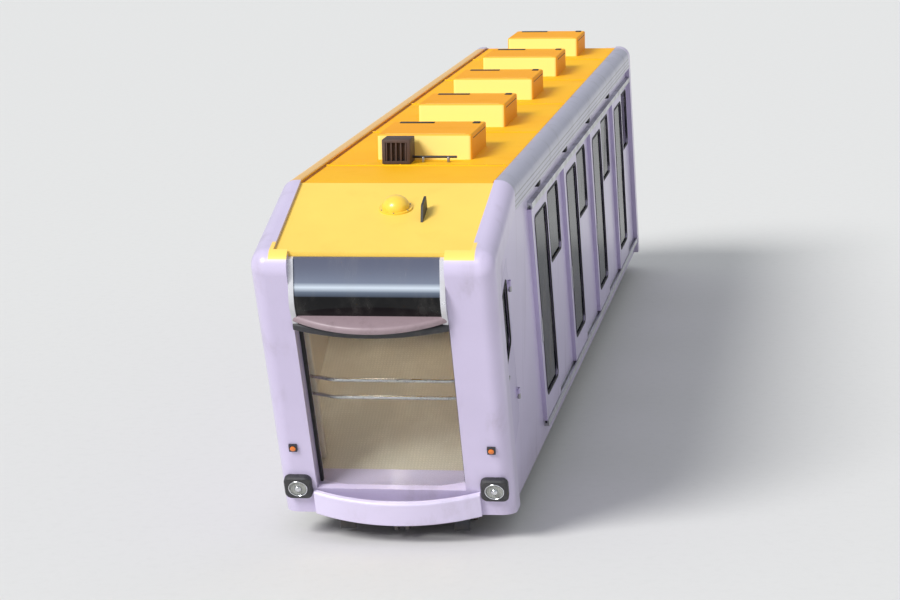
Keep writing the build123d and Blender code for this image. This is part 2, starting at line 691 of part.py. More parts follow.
# Windscreens
VISOR_BELLY_PART = 0.42
visor_v1 = FACE_TOP_V - VISOR_TOP_GAP
visor_v0 = visor_v1 - VISOR_H
screen_top = visor_v0 - LIP_H / 2
to_screen = Pos(0, SCREEN_MID_Y, 0)
keep("windscreen_upper", to_screen * bowed_band(FACE_H - SCREEN_INSET, 1, SCREEN_BOW, SCREEN_HALF_W - FIT, (0, SCREEN_T),
                                                (FLOOR_V + FIT, screen_top)))
low_head_v = LOW_TOP_V - LOW_HEADER
keep("windscreen_lower", bowed_band(END_H + LOW_SCREEN_INSET, -1, LOW_SCREEN_BOW, OPENING_Y - FIT, (0, SCREEN_T),
                                    (screen_sill_v + FIT, low_head_v - FIT)))

# Visor: a straight bellied shell that leans back to the forehead, a trim that closes each end and a bowed lip
def visor_section(grow, back):
    """Outline of the visor's section, grown outwards; its back is the shell's inside or the header's front."""
    belly_v = visor_v0 + VISOR_H * VISOR_BELLY_PART
    outer = [(FACE_H + VISOR_FOOT_OUT + grow, visor_v0 + FIT, 0), (FACE_H + VISOR_BELLY + grow, belly_v, VISOR_R),
             (header_front + VISOR_T + grow, visor_v1, 0)]
    inner = [(h - VISOR_T - grow, v, r) for h, v, r in outer[::-1]]
    inner[0] = (header_front + FIT, visor_v1, 0)
    return [(*at(h, v), r) for h, v, r in outer + (inner if back == "inside" else [inner[0], (header_front + FIT, visor_v0 + FIT, 0)])]


GLASS_HALF_W = SCREEN_HALF_W - TRIM_W - FIT
keep("visor_glass_upper", to_screen * plate(visor_section(0, "inside"), -GLASS_HALF_W, GLASS_HALF_W))
visor_trim = plate(visor_section(TRIM_LIP, "header"), SCREEN_HALF_W - TRIM_W, SCREEN_HALF_W - FIT)
keep("visor_trims_upper", [to_screen * trim for trim in pair(visor_trim)])
keep("visor_lip_upper", to_screen * bowed_band(FACE_H, 1, SCREEN_BOW, SCREEN_HALF_W - FIT, (-LIP_IN, LIP_OUT - VISOR_FOOT_OUT),
                                               (visor_v0 - LIP_H, visor_v0), LIP_R, flat_back=True))

# Bumpers: bowed bands over the sills
bumpers = []
for edge_h, outward, foot_v in ((FACE_H, 1, HIGH_FOOT_V), (END_H, -1, LOW_FOOT_V)):
    heights = (foot_v + BUMPER_INSET, foot_v + SILL_H - BUMPER_INSET)
    bumpers.append(bowed_band(edge_h + outward * FIT, outward, BUMPER_BOW, OPENING_Y + BUMPER_LAP, (0, BUMPER_T),
                              heights, BUMPER_R))
keep("bumpers", bumpers)


# Roof hoods: rounded boxes with a lid that leaves a slot behind the front
def hood(x1):
    """One hood whose uphill front stands at x1."""
    x0 = x1 - HOOD_L
    body = block(x0, x1, -HOOD_W / 2, HOOD_W / 2, ROOF_Z + FIT, ROOF_Z + HOOD_H)
    body = fillet(body.edges().filter_by(Axis.Z), HOOD_CORNER_R)
    body = chamfer(body.faces().sort_by(Axis.Z)[-1].edges(), HOOD_EDGE)
    body -= block(x1 - HOOD_FRONT - HOOD_SLOT, x1 - HOOD_FRONT, -HOOD_W / 2 + SLOT_INSET, HOOD_W / 2 - SLOT_INSET,
                  ROOF_Z + HOOD_H - HOOD_LID_T, ROOF_Z + HOOD_H + CUT_OVER)
    return body


hood_pitch = (HOOD_X - HOOD_L - HOOD_END_GAP - x_on(END_H, ROOF_Z)) / (MODULES - 1)
keep("roof_hoods", [hood(HOOD_X - k * hood_pitch) for k in range(MODULES)])

# Finned box beside the first hood
grille_x = HOOD_X + GRILLE_GAP + GRILLE_L / 2
grille_y = GRILLE_Y
grille = block(grille_x - GRILLE_L / 2, grille_x + GRILLE_L / 2, grille_y - GRILLE_W / 2, grille_y + GRILLE_W / 2, ROOF_Z + FIT, ROOF_Z + GRILLE_H)
fin_pitch = GRILLE_W / GRILLE_FINS
for k in range(GRILLE_FINS):
    y = grille_y - GRILLE_W / 2 + (k + 0.5) * fin_pitch
    grille -= block(grille_x - GRILLE_L / 2 - 5, grille_x + GRILLE_L / 2 + 5, y - fin_pitch / 4, y + fin_pitch / 4,
                    ROOF_Z + FIN_FOOT, ROOF_Z + GRILLE_H - FIN_TOP)
grille += block(grille_x - GRILLE_L / 2 + CORE_INSET, grille_x + GRILLE_L / 2 - CORE_INSET, grille_y - GRILLE_W / 2 + OVER,
                grille_y + GRILLE_W / 2 - OVER, ROOF_Z + FIN_FOOT - OVER, ROOF_Z + GRILLE_H - FIN_TOP + OVER)
keep("roof_grille_box", grille)


def on_forehead(h, y):
    """Place on the forehead's top, square to it."""
    x, z = at(h, fore_v(h))
    return Pos(x, y, z) * Rot(0, FORE_ANGLE, 0)


base = Cylinder(DOME_R, DOME_FOOT_H, align=(Align.CENTER, Align.CENTER, Align.MIN))
cap = Cylinder(DOME_R - DOME_STEP, DOME_H, align=(Align.CENTER, Align.CENTER, Align.MIN))
cap = chamfer(cap.edges().sort_by(Axis.Z)[-1], DOME_H / 2)
keep("beacon_dome", on_forehead(DOME_PLACE_H, DOME_PLACE_Y) * Pos(0, 0, FIT) * (base + cap))
fin_face = make_face(Polyline((-FIN_L / 2, 0, 0), (FIN_L / 2, 0, 0), (FIN_L / 4, 0, FIN_H), (-FIN_L / 2.4, 0, FIN_H), close=True))
fin = extrude(fin_face, amount=FIN_T, dir=(0, 1, 0))
keep("aerial_fin", on_forehead(FIN_PLACE_H, FIN_PLACE_Y) * Pos(0, 0, FIT) * fin)

# Headlamps on the pillars: square housings round a deep lens, with a small square marker lamp above each
cups = []
lenses = []
standing = (Align.CENTER, Align.CENTER, Align.MIN)
for face_h, out, lamp_v in ((FACE_H, 1, HIGH_FOOT_V + LAMP_RISE), (END_H, -1, LOW_FOOT_V + LOW_LAMP_RISE)):
    for side in (-1, 1):
        x, z = at(face_h + out * FIT, lamp_v)
        place = Pos(x, side * (HALF_W - PILLAR_W / 2), z) * Rot(0, SLOPE, 0) * Rot(0, 90 * out, 0)
        cup = Box(LAMP_W, LAMP_W, LAMP_OUT, align=standing)
        cup = fillet(cup.edges().filter_by(Axis.Z), LAMP_CORNER_R)
        cup = chamfer(cup.faces().sort_by(Axis.Z)[-1].edges(), LAMP_EDGE_R)
        cups.append(place * (cup - Pos(0, 0, LENS_DEPTH) * Cylinder(LENS_R + FIT, LAMP_OUT, align=standing)))
        cups.append(place * Pos(-out * MARKER_RISE, 0, 0) * Box(MARKER, MARKER, MARKER_T, align=standing))
        lenses.append(place * Pos(0, 0, LENS_DEPTH) * Cylinder(LENS_R, LENS_T, align=standing))
keep("headlamps", cups)
keep("headlamp_lenses", lenses)


# Benches at the low end of floors 1 to 4, facing up the hill
def bench(low_h, v):
    """Moulded seat and back on two end plates."""
    back_h = low_h + BACK_GAP
    rows = [(*at(back_h, v + SEAT_H - SEAT_T), 0), (*at(back_h + SEAT_D, v + SEAT_H - SEAT_T - SEAT_DROP), SEAT_R),
            (*at(back_h + SEAT_D, v + SEAT_H), SEAT_R), (*at(back_h + BACK_ROOT, v + SEAT_H - SEAT_DROP), BACK_ROOT_R),
            (*at(back_h + BACK_T, v + SEAT_H + BACK_H), BACK_R), (*at(back_h, v + SEAT_H + BACK_H), BACK_R)]
    y = WALL_IN_Y - BENCH_SIDE_GAP
    shell = plate(rows, -y, y)
    for y0 in (-y + LEG_INSET, -LEG_T / 2, y - LEG_INSET - LEG_T):
        shell += plumb_box(back_h + LEG_BACK, back_h + SEAT_D - BACK_ROOT, v + FIT, v + SEAT_H - SEAT_T + SEAT_DROP, y0, y0 + LEG_T)
    return shell


keep("benches", [bench(h - MODULE_H, v) for h, v in floors[:-1]])


def handrails(edge_h, outward, floor_v):
    """Two bars across the cabin, bent out towards the windscreen, with a foot on each wall."""
    bars = []
    end_y = WALL_IN_Y - FIT
    for height in BAR_HEIGHTS:
        v = floor_v + height
        x, z = at(edge_h, v)
        far_x, far_z = at(edge_h + outward * BAR_BOW, v)
        path = FilletPolyline((x, -end_y - BAR_R, z), (far_x, -BAR_BEND_Y, far_z), (far_x, BAR_BEND_Y, far_z),
                              (x, end_y + BAR_R, z), radius=BAR_BEND_R)
        bar = sweep(Plane(origin=path @ 0, z_dir=path % 0) * Circle(BAR_R), path)
        bar &= block(x - REACH, x + REACH, -end_y, end_y, z - REACH, z + REACH)
        for side in (-1, 1):
            bar += cross_bar(x, z, side * (end_y - BAR_FOOT_T), side * end_y, BAR_R * 2)
        bars.append(bar)
    return bars


keep("handrails", handrails(HIGH_BACK_H - BAR_INSET, 1, FLOOR_V), handrails(LOW_BACK_H + BAR_INSET, -1, low_floor_v))

poles = []
for h, v in floors[1:]:
    pole_h = h - POLE_INSET
    pole = plumb_rod(pole_h, v + FIT, v_on(pole_h, ROOF_IN_Z) + POLE_OVER, POLE_Y, POLE_R)
    pole += plumb_rod(pole_h, v + FIT, v + COLLAR_T, POLE_Y, COLLAR_R)
    poles.append(pole - block(-REACH, REACH, 0, WALL_IN_Y, ROOF_IN_Z - FIT, ROOF_IN_Z + PAST))
keep("grab_poles", poles)


# Chassis: two channel beams, with bolsters on posts over the bogies and a headstock at each end
def channel_beam(x0, x1):
    """Channel of the +Y side, open towards the middle."""
    body = block(x0, x1, BEAM_IN_Y, BEAM_OUT_Y, SKIRT_Z, SKIRT_Z + BEAM_H)
    hollow = block(x0 + BEAM_END, x1 - BEAM_END, BEAM_IN_Y - BEAM_WEB, BEAM_OUT_Y - BEAM_WEB,
                   SKIRT_Z + BEAM_WEB, SKIRT_Z + BEAM_H - BEAM_WEB)
    return body - hollow


beam_x0 = CHASSIS_X0 + BEAM_LOW_INSET
beam_x1 = CHASSIS_X1 - BEAM_HIGH_INSET
BOGIE_X = {"upper": CHASSIS_X1 - BOGIE_INSET, "lower": CHASSIS_X0 + BOGIE_INSET}
PAD_X = (BOGIE_X["upper"] - PAD_INSET, BOGIE_X["lower"] + PAD_INSET)
beam = channel_beam(beam_x0, beam_x1)
for x in PAD_X:
    beam += block(x - PAD_L / 2, x + PAD_L / 2, BEAM_IN_Y, BEAM_OUT_Y, SKIRT_Z - PAD_H, SKIRT_Z + BEAM_WEB)
keep("chassis_beams", pair(beam))

bolsters = []
posts = []
POST_Z0 = SKIRT_Z + BEAM_H + FIT
for x in BOGIE_X.values():
    bolster = block(x - BOLSTER_L / 2, x + BOLSTER_L / 2, -BEAM_OUT_Y + FIT, BEAM_OUT_Y - FIT, BOLSTER_Z0, BOLSTER_Z0 + BOLSTER_H)
    bolsters.append(fillet(bolster.edges().filter_by(Axis.Y), BOLSTER_R))
    for side in (-1, 1):
        post = side_block(side, x - BOLSTER_L / 2, x + BOLSTER_L / 2, BEAM_IN_Y, BEAM_OUT_Y - FIT, POST_Z0, BOLSTER_Z0 - FIT)
        posts.append(post)
keep("chassis_bolsters", bolsters)
keep("chassis_posts", posts)

crossers = []
span = PAD_X[0] - PAD_X[1]
for k in range(CROSSERS):
    x = PAD_X[1] + (k + 0.5) * span / CROSSERS
    crossers.append(block(x - CROSSER_W / 2, x + CROSSER_W / 2, -BEAM_IN_Y + FIT, BEAM_IN_Y - FIT, SKIRT_Z, SKIRT_Z + CROSSER_H))
keep("chassis_cross_members", crossers)

headstocks = []
HEAD_FOOT_Z = SKIRT_Z - HEADSTOCK_H
for x_end, out in ((CHASSIS_X1, 1), (CHASSIS_X0, -1)):
    near, far = sorted((x_end - out * HEADSTOCK_IN, x_end + out * HEADSTOCK_OUT))
    headstock = block(near, far, -HEADSTOCK_HALF_W, HEADSTOCK_HALF_W, HEAD_FOOT_Z, SKIRT_Z - FIT)
    headstock = fillet(headstock.edges().filter_by(Axis.Z), HEADSTOCK_R)
    near, far = sorted((x_end - out * HEADSTOCK_IN, x_end - out * (HEADSTOCK_IN - CROSSER_W)))
    headstock += block(near, far, -BEAM_OUT_Y, BEAM_OUT_Y, HEAD_FOOT_Z, SKIRT_Z - FIT)
    pin_x = x_end + out * CLEVIS_OUT
    for side in (-1, 1):
        y0, y1 = sorted((side * CLEVIS_GAP / 2, side * (CLEVIS_GAP / 2 + EAR_T)))
        tip_x = pin_x + out * EAR_R
        root_x = pin_x - out * EAR_L
        headstock += plate([(tip_x, CLEVIS_Z - EAR_R, EAR_R * 0.98), (tip_x, CLEVIS_Z + EAR_R, EAR_R * 0.5),
                            (pin_x, HEAD_FOOT_Z + FIT), (root_x, HEAD_FOOT_Z + FIT),
                            ((pin_x + root_x) / 2, CLEVIS_Z - EAR_R)], y0, y1)
    headstocks.append(headstock - cross_bar(pin_x, CLEVIS_Z, -HEADSTOCK_HALF_W, HEADSTOCK_HALF_W, CLEVIS_R))
keep("chassis_headstocks", headstocks)

# Rail guards ahead of the outer wheels
guards = []
for x_end, out in ((CHASSIS_X1, 1), (CHASSIS_X0, -1)):
    x0, x1 = sorted((x_end + out * GUARD_OUT, x_end + out * (GUARD_OUT + GUARD_T)))
    for side in (-1, 1):
        y0 = RAIL_Y - GUARD_W / 2
        y1 = RAIL_Y + GUARD_W / 2
        top = HEAD_FOOT_Z - FIT
        blade = side_block(side, x0, x1, y0, y1, GUARD_Z, top)
        guards.append(blade + side_block(side, x0 - GUARD_FOOT, x1 + GUARD_FOOT, y0, y1, top - GUARD_T, top))
keep("rail_guards", guards)

# Equipment cases between the beams, under floors 2 and 4
cases = []
for k in (1, 3):
    h0 = floors[k + 1][0] + FLOOR_T + CASE_GAP
    cases.append(slope_box(h0, h0 + CASE_L, SKIRT_Z + CROSSER_H + FIT, SKIRT_Z + CASE_H, -BEAM_IN_Y + FIT, BEAM_IN_Y - FIT, CASE_R))
keep("equipment_cases", cases)


# Wheelsets, turned in one piece about the axle line
def turned(rows, x):
    """Solid of revolution about the axle line at x; each row is (y, radius)."""
    points = [(x, y, WHEEL_Z + r) for y, r in rows]
    face = make_face(Polyline(*points, close=True))
    return revolve(face, Axis((x, 0, WHEEL_Z), (0, 1, 0)), 360)


def disc_rows(y, rim_half, tread_half, flange):
    """Half sections of a disc wheel centred on y, from the hub outwards."""
    rim_in = TREAD_R - RIM_T
    rows = [(y - HUB_W / 2, AXLE_R - OVER), (y - HUB_W / 2, HUB_R), (y - WEB_T / 2, HUB_R + WEB_RISE), (y - WEB_T / 2, rim_in - WEB_FALL),
            (y - rim_half, rim_in)]
    if flange:
        rows += [(y - rim_half, TREAD_R + flange), (y - tread_half - FLANGE_LEAN, TREAD_R + flange), (y - tread_half, TREAD_R),
                 (y + tread_half, TREAD_R), (y + tread_half + FLANGE_LEAN, TREAD_R + flange), (y + rim_half, TREAD_R + flange)]
    else:
        rows += [(y - rim_half, TREAD_R), (y + rim_half, TREAD_R)]
    rows += [(y + rim_half, rim_in), (y + WEB_T / 2, rim_in - WEB_FALL), (y + WEB_T / 2, HUB_R + WEB_RISE), (y + HUB_W / 2, HUB_R),
             (y + HUB_W / 2, AXLE_R - OVER)]
    return rows


def wheelset(x):
    """Axle with its journals, the double-flanged wheel and the flat roller."""
    inner = BOX_Y - AXLE_BOX_W / 2 - BOX_CLEARANCE
    axle = cross_bar(x, WHEEL_Z, -inner, inner, AXLE_R)
    axle += cross_bar(x, WHEEL_Z, -BOX_Y - AXLE_BOX_W / 2, BOX_Y + AXLE_BOX_W / 2, JOURNAL_R)
    wheel = turned(disc_rows(RAIL_Y, TREAD_W / 2 + FLANGE_T, TREAD_W / 2, FLANGE_H), x)
    roller = turned(disc_rows(-RAIL_Y, ROLLER_W / 2, ROLLER_W / 2, 0), x)
    return axle + wheel + roller


# Bogies
def side_frame(cx, y0, y1):
    """Side frame with raised ends over the axle boxes and a dropped, shaped middle."""
    end = WHEELBASE / 2 + FRAME_END
    half = [(end, -FRAME_FOOT, 20), (end, FRAME_SHOULDER, 40), (end - FRAME_CHAMFER_L, FRAME_TOP, 60)]
    under = [(WHEELBASE / 2 - FRAME_RISE_L, -FRAME_FOOT, 80), (FRAME_DROP_L, -FRAME_DROP, 60)]
    right = under[::-1] + half
    left = [(-x, z, r) for x, z, r in right[::-1]]
    return plate([(cx + x, WHEEL_Z + z, r) for x, z, r in right + left], y0, y1)


for name, cx in BOGIE_X.items():
    frame = side_frame(cx, BOX_Y - SIDE_FRAME_T / 2, BOX_Y + SIDE_FRAME_T / 2)
    for dx in (-WHEELBASE / 2, WHEELBASE / 2):
        frame += cross_bar(cx + dx, WHEEL_Z, BOX_Y - AXLE_BOX_W / 2, BOX_Y + AXLE_BOX_W / 2, AXLE_BOX_R)
    frame = with_mirror(frame)
    frame += block(cx - TRANSOM_L / 2, cx + TRANSOM_L / 2, -BOX_Y, BOX_Y, WHEEL_Z - TRANSOM_FOOT, WHEEL_Z + TRANSOM_TOP)
    frame += upright(cx, 0, WHEEL_Z, PIVOT_R, BOLSTER_Z0 - WHEEL_Z - FIT)
    for dx in (-WHEELBASE / 2, WHEELBASE / 2):
        frame -= cross_bar(cx + dx, WHEEL_Z, -HALF_W, HALF_W, JOURNAL_R + JOURNAL_GAP)
    keep(f"bogie_frame_{name}", frame)

    springs = []
    seat_z = WHEEL_Z + FRAME_TOP + FIT
    for side in (-1, 1):
        spring = upright(cx, side * BOX_Y, seat_z, SPRING_R, BOLSTER_Z0 - FIT - seat_z)
        ring_h = (BOLSTER_Z0 - FIT - seat_z) / 5
        for k in (1, 3):
            z = seat_z + k * ring_h
            outer = upright(cx, side * BOX_Y, z, SPRING_R + OVER, ring_h)
            spring -= outer - upright(cx, side * BOX_Y, z, SPRING_R - SPRING_GROOVE, ring_h)
        springs.append(spring)
    keep(f"bogie_springs_{name}", springs)

    brakes = []
    jaw_gap = RAIL_HEAD_W / 2 + JAW_CLEARANCE
    for side in (-1, 1):
        y = side * RAIL_Y
        body = block(cx - BRAKE_L / 2, cx + BRAKE_L / 2, y - BRAKE_W / 2, y + BRAKE_W / 2, BRAKE_Z, WHEEL_Z - TRANSOM_FOOT - FIT)
        for jaw_side in (-1, 1):
            y0, y1 = sorted((y + jaw_side * jaw_gap, y + jaw_side * (jaw_gap + JAW_T)))
            body += plate([(cx - JAW_L / 2, GROUND_Z + FLOOR_CLEARANCE, 12), (cx + JAW_L / 2, GROUND_Z + FLOOR_CLEARANCE, 12),
                           (cx + JAW_L / 2, JAW_SHOULDER_Z, JAW_R), (cx + JAW_TOP_L / 2, JAW_TOP_Z),
                           (cx - JAW_TOP_L / 2, JAW_TOP_Z), (cx - JAW_L / 2, JAW_SHOULDER_Z, JAW_R)], y0, y1)
        brakes.append(body)
    keep(f"track_brakes_{name}", brakes)
    for tag, dx in (("a", WHEELBASE / 2), ("b", -WHEELBASE / 2)):
        keep(f"wheelset_{name}_{tag}", wheelset(cx + dx))

# The whole car is moved so that its box is centred over the origin, with the flanges on z = 0
box = Compound([solid for solids in parts.values() for solid in solids]).bounding_box()
shift = Pos(-(box.min.X + box.max.X) / 2, 0, FLANGE_H)

os.makedirs("parts", exist_ok=True)
for name, solids in parts.items():
    placed = [shift * solid for solid in solids]
    shape = placed[0] if len(placed) == 1 else Compound(placed)
    export_step(shape, f"parts/{name}.step")
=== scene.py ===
# %% [markdown]
# # Dressing a funicular car
# The solids of this car come ready made, packed as a fixed frame: stepped floor, walls, roof, doors,
# bogies and wheels, each a named node on a named body. This lesson gives them their paint, glass and
# rubber, and adds the small pieces that a designer leaves out of the solids: gaskets, strips, bolts,
# springs, handles and lamps. Nothing here moves or reshapes the frame.

# %% Load the frame
import json
import math

import bpy
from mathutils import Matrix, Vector

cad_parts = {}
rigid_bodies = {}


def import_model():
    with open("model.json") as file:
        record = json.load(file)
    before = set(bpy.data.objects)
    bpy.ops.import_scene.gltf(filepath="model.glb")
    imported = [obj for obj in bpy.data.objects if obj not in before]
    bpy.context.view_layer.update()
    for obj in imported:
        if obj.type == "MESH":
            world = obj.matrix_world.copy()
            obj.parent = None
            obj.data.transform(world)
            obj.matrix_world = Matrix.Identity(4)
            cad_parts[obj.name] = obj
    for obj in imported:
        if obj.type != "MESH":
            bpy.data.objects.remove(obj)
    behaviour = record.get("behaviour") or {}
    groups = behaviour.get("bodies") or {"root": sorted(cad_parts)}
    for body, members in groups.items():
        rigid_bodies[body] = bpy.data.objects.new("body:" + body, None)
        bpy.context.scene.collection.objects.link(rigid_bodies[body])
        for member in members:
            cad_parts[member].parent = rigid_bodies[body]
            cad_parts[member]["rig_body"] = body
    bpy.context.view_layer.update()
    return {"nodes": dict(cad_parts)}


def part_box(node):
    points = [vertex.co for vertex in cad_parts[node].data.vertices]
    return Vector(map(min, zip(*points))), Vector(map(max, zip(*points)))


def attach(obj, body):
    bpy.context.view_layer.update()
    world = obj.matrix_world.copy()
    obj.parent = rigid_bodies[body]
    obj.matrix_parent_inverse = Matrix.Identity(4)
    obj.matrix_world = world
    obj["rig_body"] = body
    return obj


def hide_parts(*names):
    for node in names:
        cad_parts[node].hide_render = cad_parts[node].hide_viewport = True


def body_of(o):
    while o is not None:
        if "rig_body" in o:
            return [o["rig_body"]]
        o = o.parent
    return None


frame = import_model()
nodes = frame["nodes"]

# %% [markdown]
# ## Two ways to measure a car on a slope
# The car is stored with its rails level, so its pillars and treads lean by the slope of the line. Each
# place is easier to say as a level distance h up the hill and a height v up the plumb line. One
# function turns that into the frame's x and z. Its zero lies 1.6 m up the hill from the first hood.

# %% Plumb measures
SLOPE = math.radians(28)
SIN = math.sin(SLOPE)
COS = math.cos(SLOPE)
FLANGE = 0.024
HOOD_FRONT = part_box("roof_hoods")[1].x
ORIGIN_X = HOOD_FRONT + 1.600
MODULES = 5
MODULE = 2.700
STEP = MODULE * SIN / COS
FACE = 0.150
SKIRT = 0.250
FLOOR = 0.600
HALF_W = 1.060
PILLAR_W = 0.330
WALL_IN = 0.960
ROOF = 3.240 + FLANGE
FORE_FALL = 0.2218
FLOORS = [(FACE - k * MODULE, FLOOR - k * STEP) for k in range(MODULES)]
LOW_END = FACE - MODULES * MODULE


def spot(h, v, y):
    """The frame's point at level place h and plumb height v."""
    return Vector((h * COS + v * SIN + ORIGIN_X, y, v * COS - h * SIN + FLANGE))


def x_at(h, z):
    """The frame's x at level place h, where the frame's height is z."""
    return (h + (z - FLANGE) * SIN) / COS + ORIGIN_X


def plumb_height(x, z):
    """The plumb height of the frame's x and z, given as numbers or as signals."""
    return x * SIN + z * COS - (ORIGIN_X * SIN + FLANGE * COS)


print("zero of the plumb measures:", spot(0, 0, 0))

# %% [markdown]
# ## Camera, floor and light
# The photograph looks down on the car from up the hill, a little to the door side. The camera stands
# where that one stood, turned to the car, with a long lens that crops as closely. A wide soft sun from
# the upper left and an even pale world light it, so that paint shows at about its written colour.

# %% Camera, floor and light
EYE = Vector((ORIGIN_X + 25.358, 4.064, 6.740))
AIM = Vector((ORIGIN_X - 3.853, -0.097, 1.500))
ROLL = math.radians(1.0)
scene = bpy.context.scene
scene.view_settings.view_transform = "Standard"
bpy.ops.object.select_all(action="DESELECT")
bpy.ops.object.camera_add(location=EYE, rotation=(AIM - EYE).to_track_quat("-Z", "Y").to_euler())
camera = bpy.context.active_object
camera.rotation_euler.rotate_axis("Z", -ROLL)
camera.data.lens = 115
camera.data.clip_end = 600
scene.camera = camera

SUN_FROM = Vector((0.70, -0.42, 0.57))
bpy.ops.object.light_add(type="SUN", rotation=SUN_FROM.to_track_quat("Z", "Y").to_euler())
bpy.context.active_object.data.energy = 3.0
bpy.context.active_object.data.angle = math.radians(22)

world = bpy.data.worlds.new("pale_world")
scene.world = world
world.use_nodes = True
world.node_tree.nodes["Background"].inputs["Color"].default_value = (0.90, 0.94, 1.0, 1)
world.node_tree.nodes["Background"].inputs["Strength"].default_value = 0.55

bpy.ops.mesh.primitive_plane_add(size=420, location=(-40, 0, 0))
floor = bpy.context.active_object
floor.name = "studio_floor"
print("camera distance:", round((AIM - EYE).length, 2), "m")

# %% [markdown]
# ## Shader maths that reads like maths
# A node tree is hard to read as a list of links. A Signal wraps one socket, so that a + b * 2 in Python
# adds the Math nodes for it. A Finish owns one material, and its node method makes every other kind of
# node: settings first, then the values or signals of its sockets.

# %% Signals and finishes
class Signal:
    """One output socket that takes part in Python arithmetic."""

    def __init__(self, finish, socket):
        self.finish = finish
        self.socket = socket

    def __add__(self, other):
        return self.finish.math("ADD", self, other)

    def __sub__(self, other):
        return self.finish.math("SUBTRACT", self, other)

    def __rsub__(self, other):
        return self.finish.math("SUBTRACT", other, self)

    def __mul__(self, other):
        return self.finish.math("MULTIPLY", self, other)

    def __abs__(self):
        return self.finish.math("ABSOLUTE", self)


class Finish:
    """A material that is being made, round its Principled shader."""

    def __init__(self, name, **plain):
        self.material = bpy.data.materials.new(name)
        self.material.use_nodes = True
        self.tree = self.material.node_tree
        self.shader = self.tree.nodes["Principled BSDF"]
        self.feed(self.shader, {key.replace("_", " "): value for key, value in plain.items()})

    def feed(self, node, inputs):
        for key, value in inputs.items():
            if isinstance(value, Signal):
                self.tree.links.new(value.socket, node.inputs[key])
            else:
                node.inputs[key].default_value = value

    def node(self, kind, settings=None, inputs=None, output=0):
        node = self.tree.nodes.new(kind)
        for key, value in (settings or {}).items():
            if key == "stops":
                for place in range(len(value) - 2):
                    node.color_ramp.elements.new(0.5)
                for element, (at, colour) in zip(node.color_ramp.elements, value):
                    element.position = at
                    element.color = (*colour, 1)
            else:
                setattr(node, key, value)
        self.feed(node, inputs or {})
        return Signal(self, node.outputs[output])

    def math(self, operation, a, b=0.0, clamp=False):
        return self.node("ShaderNodeMath", {"operation": operation, "use_clamp": clamp}, {0: a, 1: b})

    def place(self):
        """Object coordinates and their three parts."""
        coords = self.node("ShaderNodeTexCoord", output="Object")
        parts = [self.node("ShaderNodeSeparateXYZ", {}, {0: coords}, axis) for axis in "XYZ"]
        return coords, *parts

    def ramp(self, value, low, high, to_low=0.0, to_high=1.0):
        """Smooth step of a value between two limits."""
        limits = {"Value": value, "From Min": low, "From Max": high, "To Min": to_low, "To Max": to_high}
        return self.node("ShaderNodeMapRange", {"interpolation_type": "SMOOTHSTEP"}, limits)

    def noise(self, scale, stretch=(1, 1, 1), turn=0.0, detail=4, roughness=0.55):
        """Noise on the object's own coordinates, turned about Y and stretched."""
        coords = self.node("ShaderNodeTexCoord", output="Object")
        turned = self.node("ShaderNodeMapping", {}, {"Vector": coords, "Rotation": (0, turn, 0), "Scale": stretch})
        inputs = {"Vector": turned, "Scale": scale, "Detail": detail, "Roughness": roughness}
        return self.node("ShaderNodeTexNoise", {}, inputs)

    def blend(self, amount, first, second):
        """Mix of two colours."""
        first, second = [c if isinstance(c, Signal) else (*c, 1) for c in (first, second)]
        return self.node("ShaderNodeMix", {"data_type": "RGBA"}, {0: amount, 6: first, 7: second}, 2)

    def bump(self, height, strength, distance):
        return self.node("ShaderNodeBump", {}, {"Height": height, "Strength": strength, "Distance": distance})

    def done(self, colour=None, roughness=None, normal=None, **others):
        found = {"Base Color": colour, "Roughness": roughness, "Normal": normal}
        found.update({key.replace("_", " "): value for key, value in others.items()})
        self.feed(self.shader, {key: value for key, value in found.items() if value is not None})
        return self.material


def rgb(red, green, blue):
    """A screen colour of 0 to 255 as the linear numbers that shaders take."""
    shares = [c / 255 for c in (red, green, blue)]
    return tuple(c / 12.92 if c <= 0.04045 else ((c + 0.055) / 1.055) ** 2.4 for c in shares)


# %% [markdown]
# ## Paint that has been out in the weather
# The body is sprayed in a pale lilac, the roof in a warm yellow. Both are paint over sheet metal with a
# faint orange-peel ripple and dust that rain has drawn down the plumb line; the lilac is gloss under a
# clear coat. The dust gathers low on the skirt, so its mask is made of height and of a noise stretched
# along the pillars.

# %% Weathered paint
CAP_HALF_W = 0.890


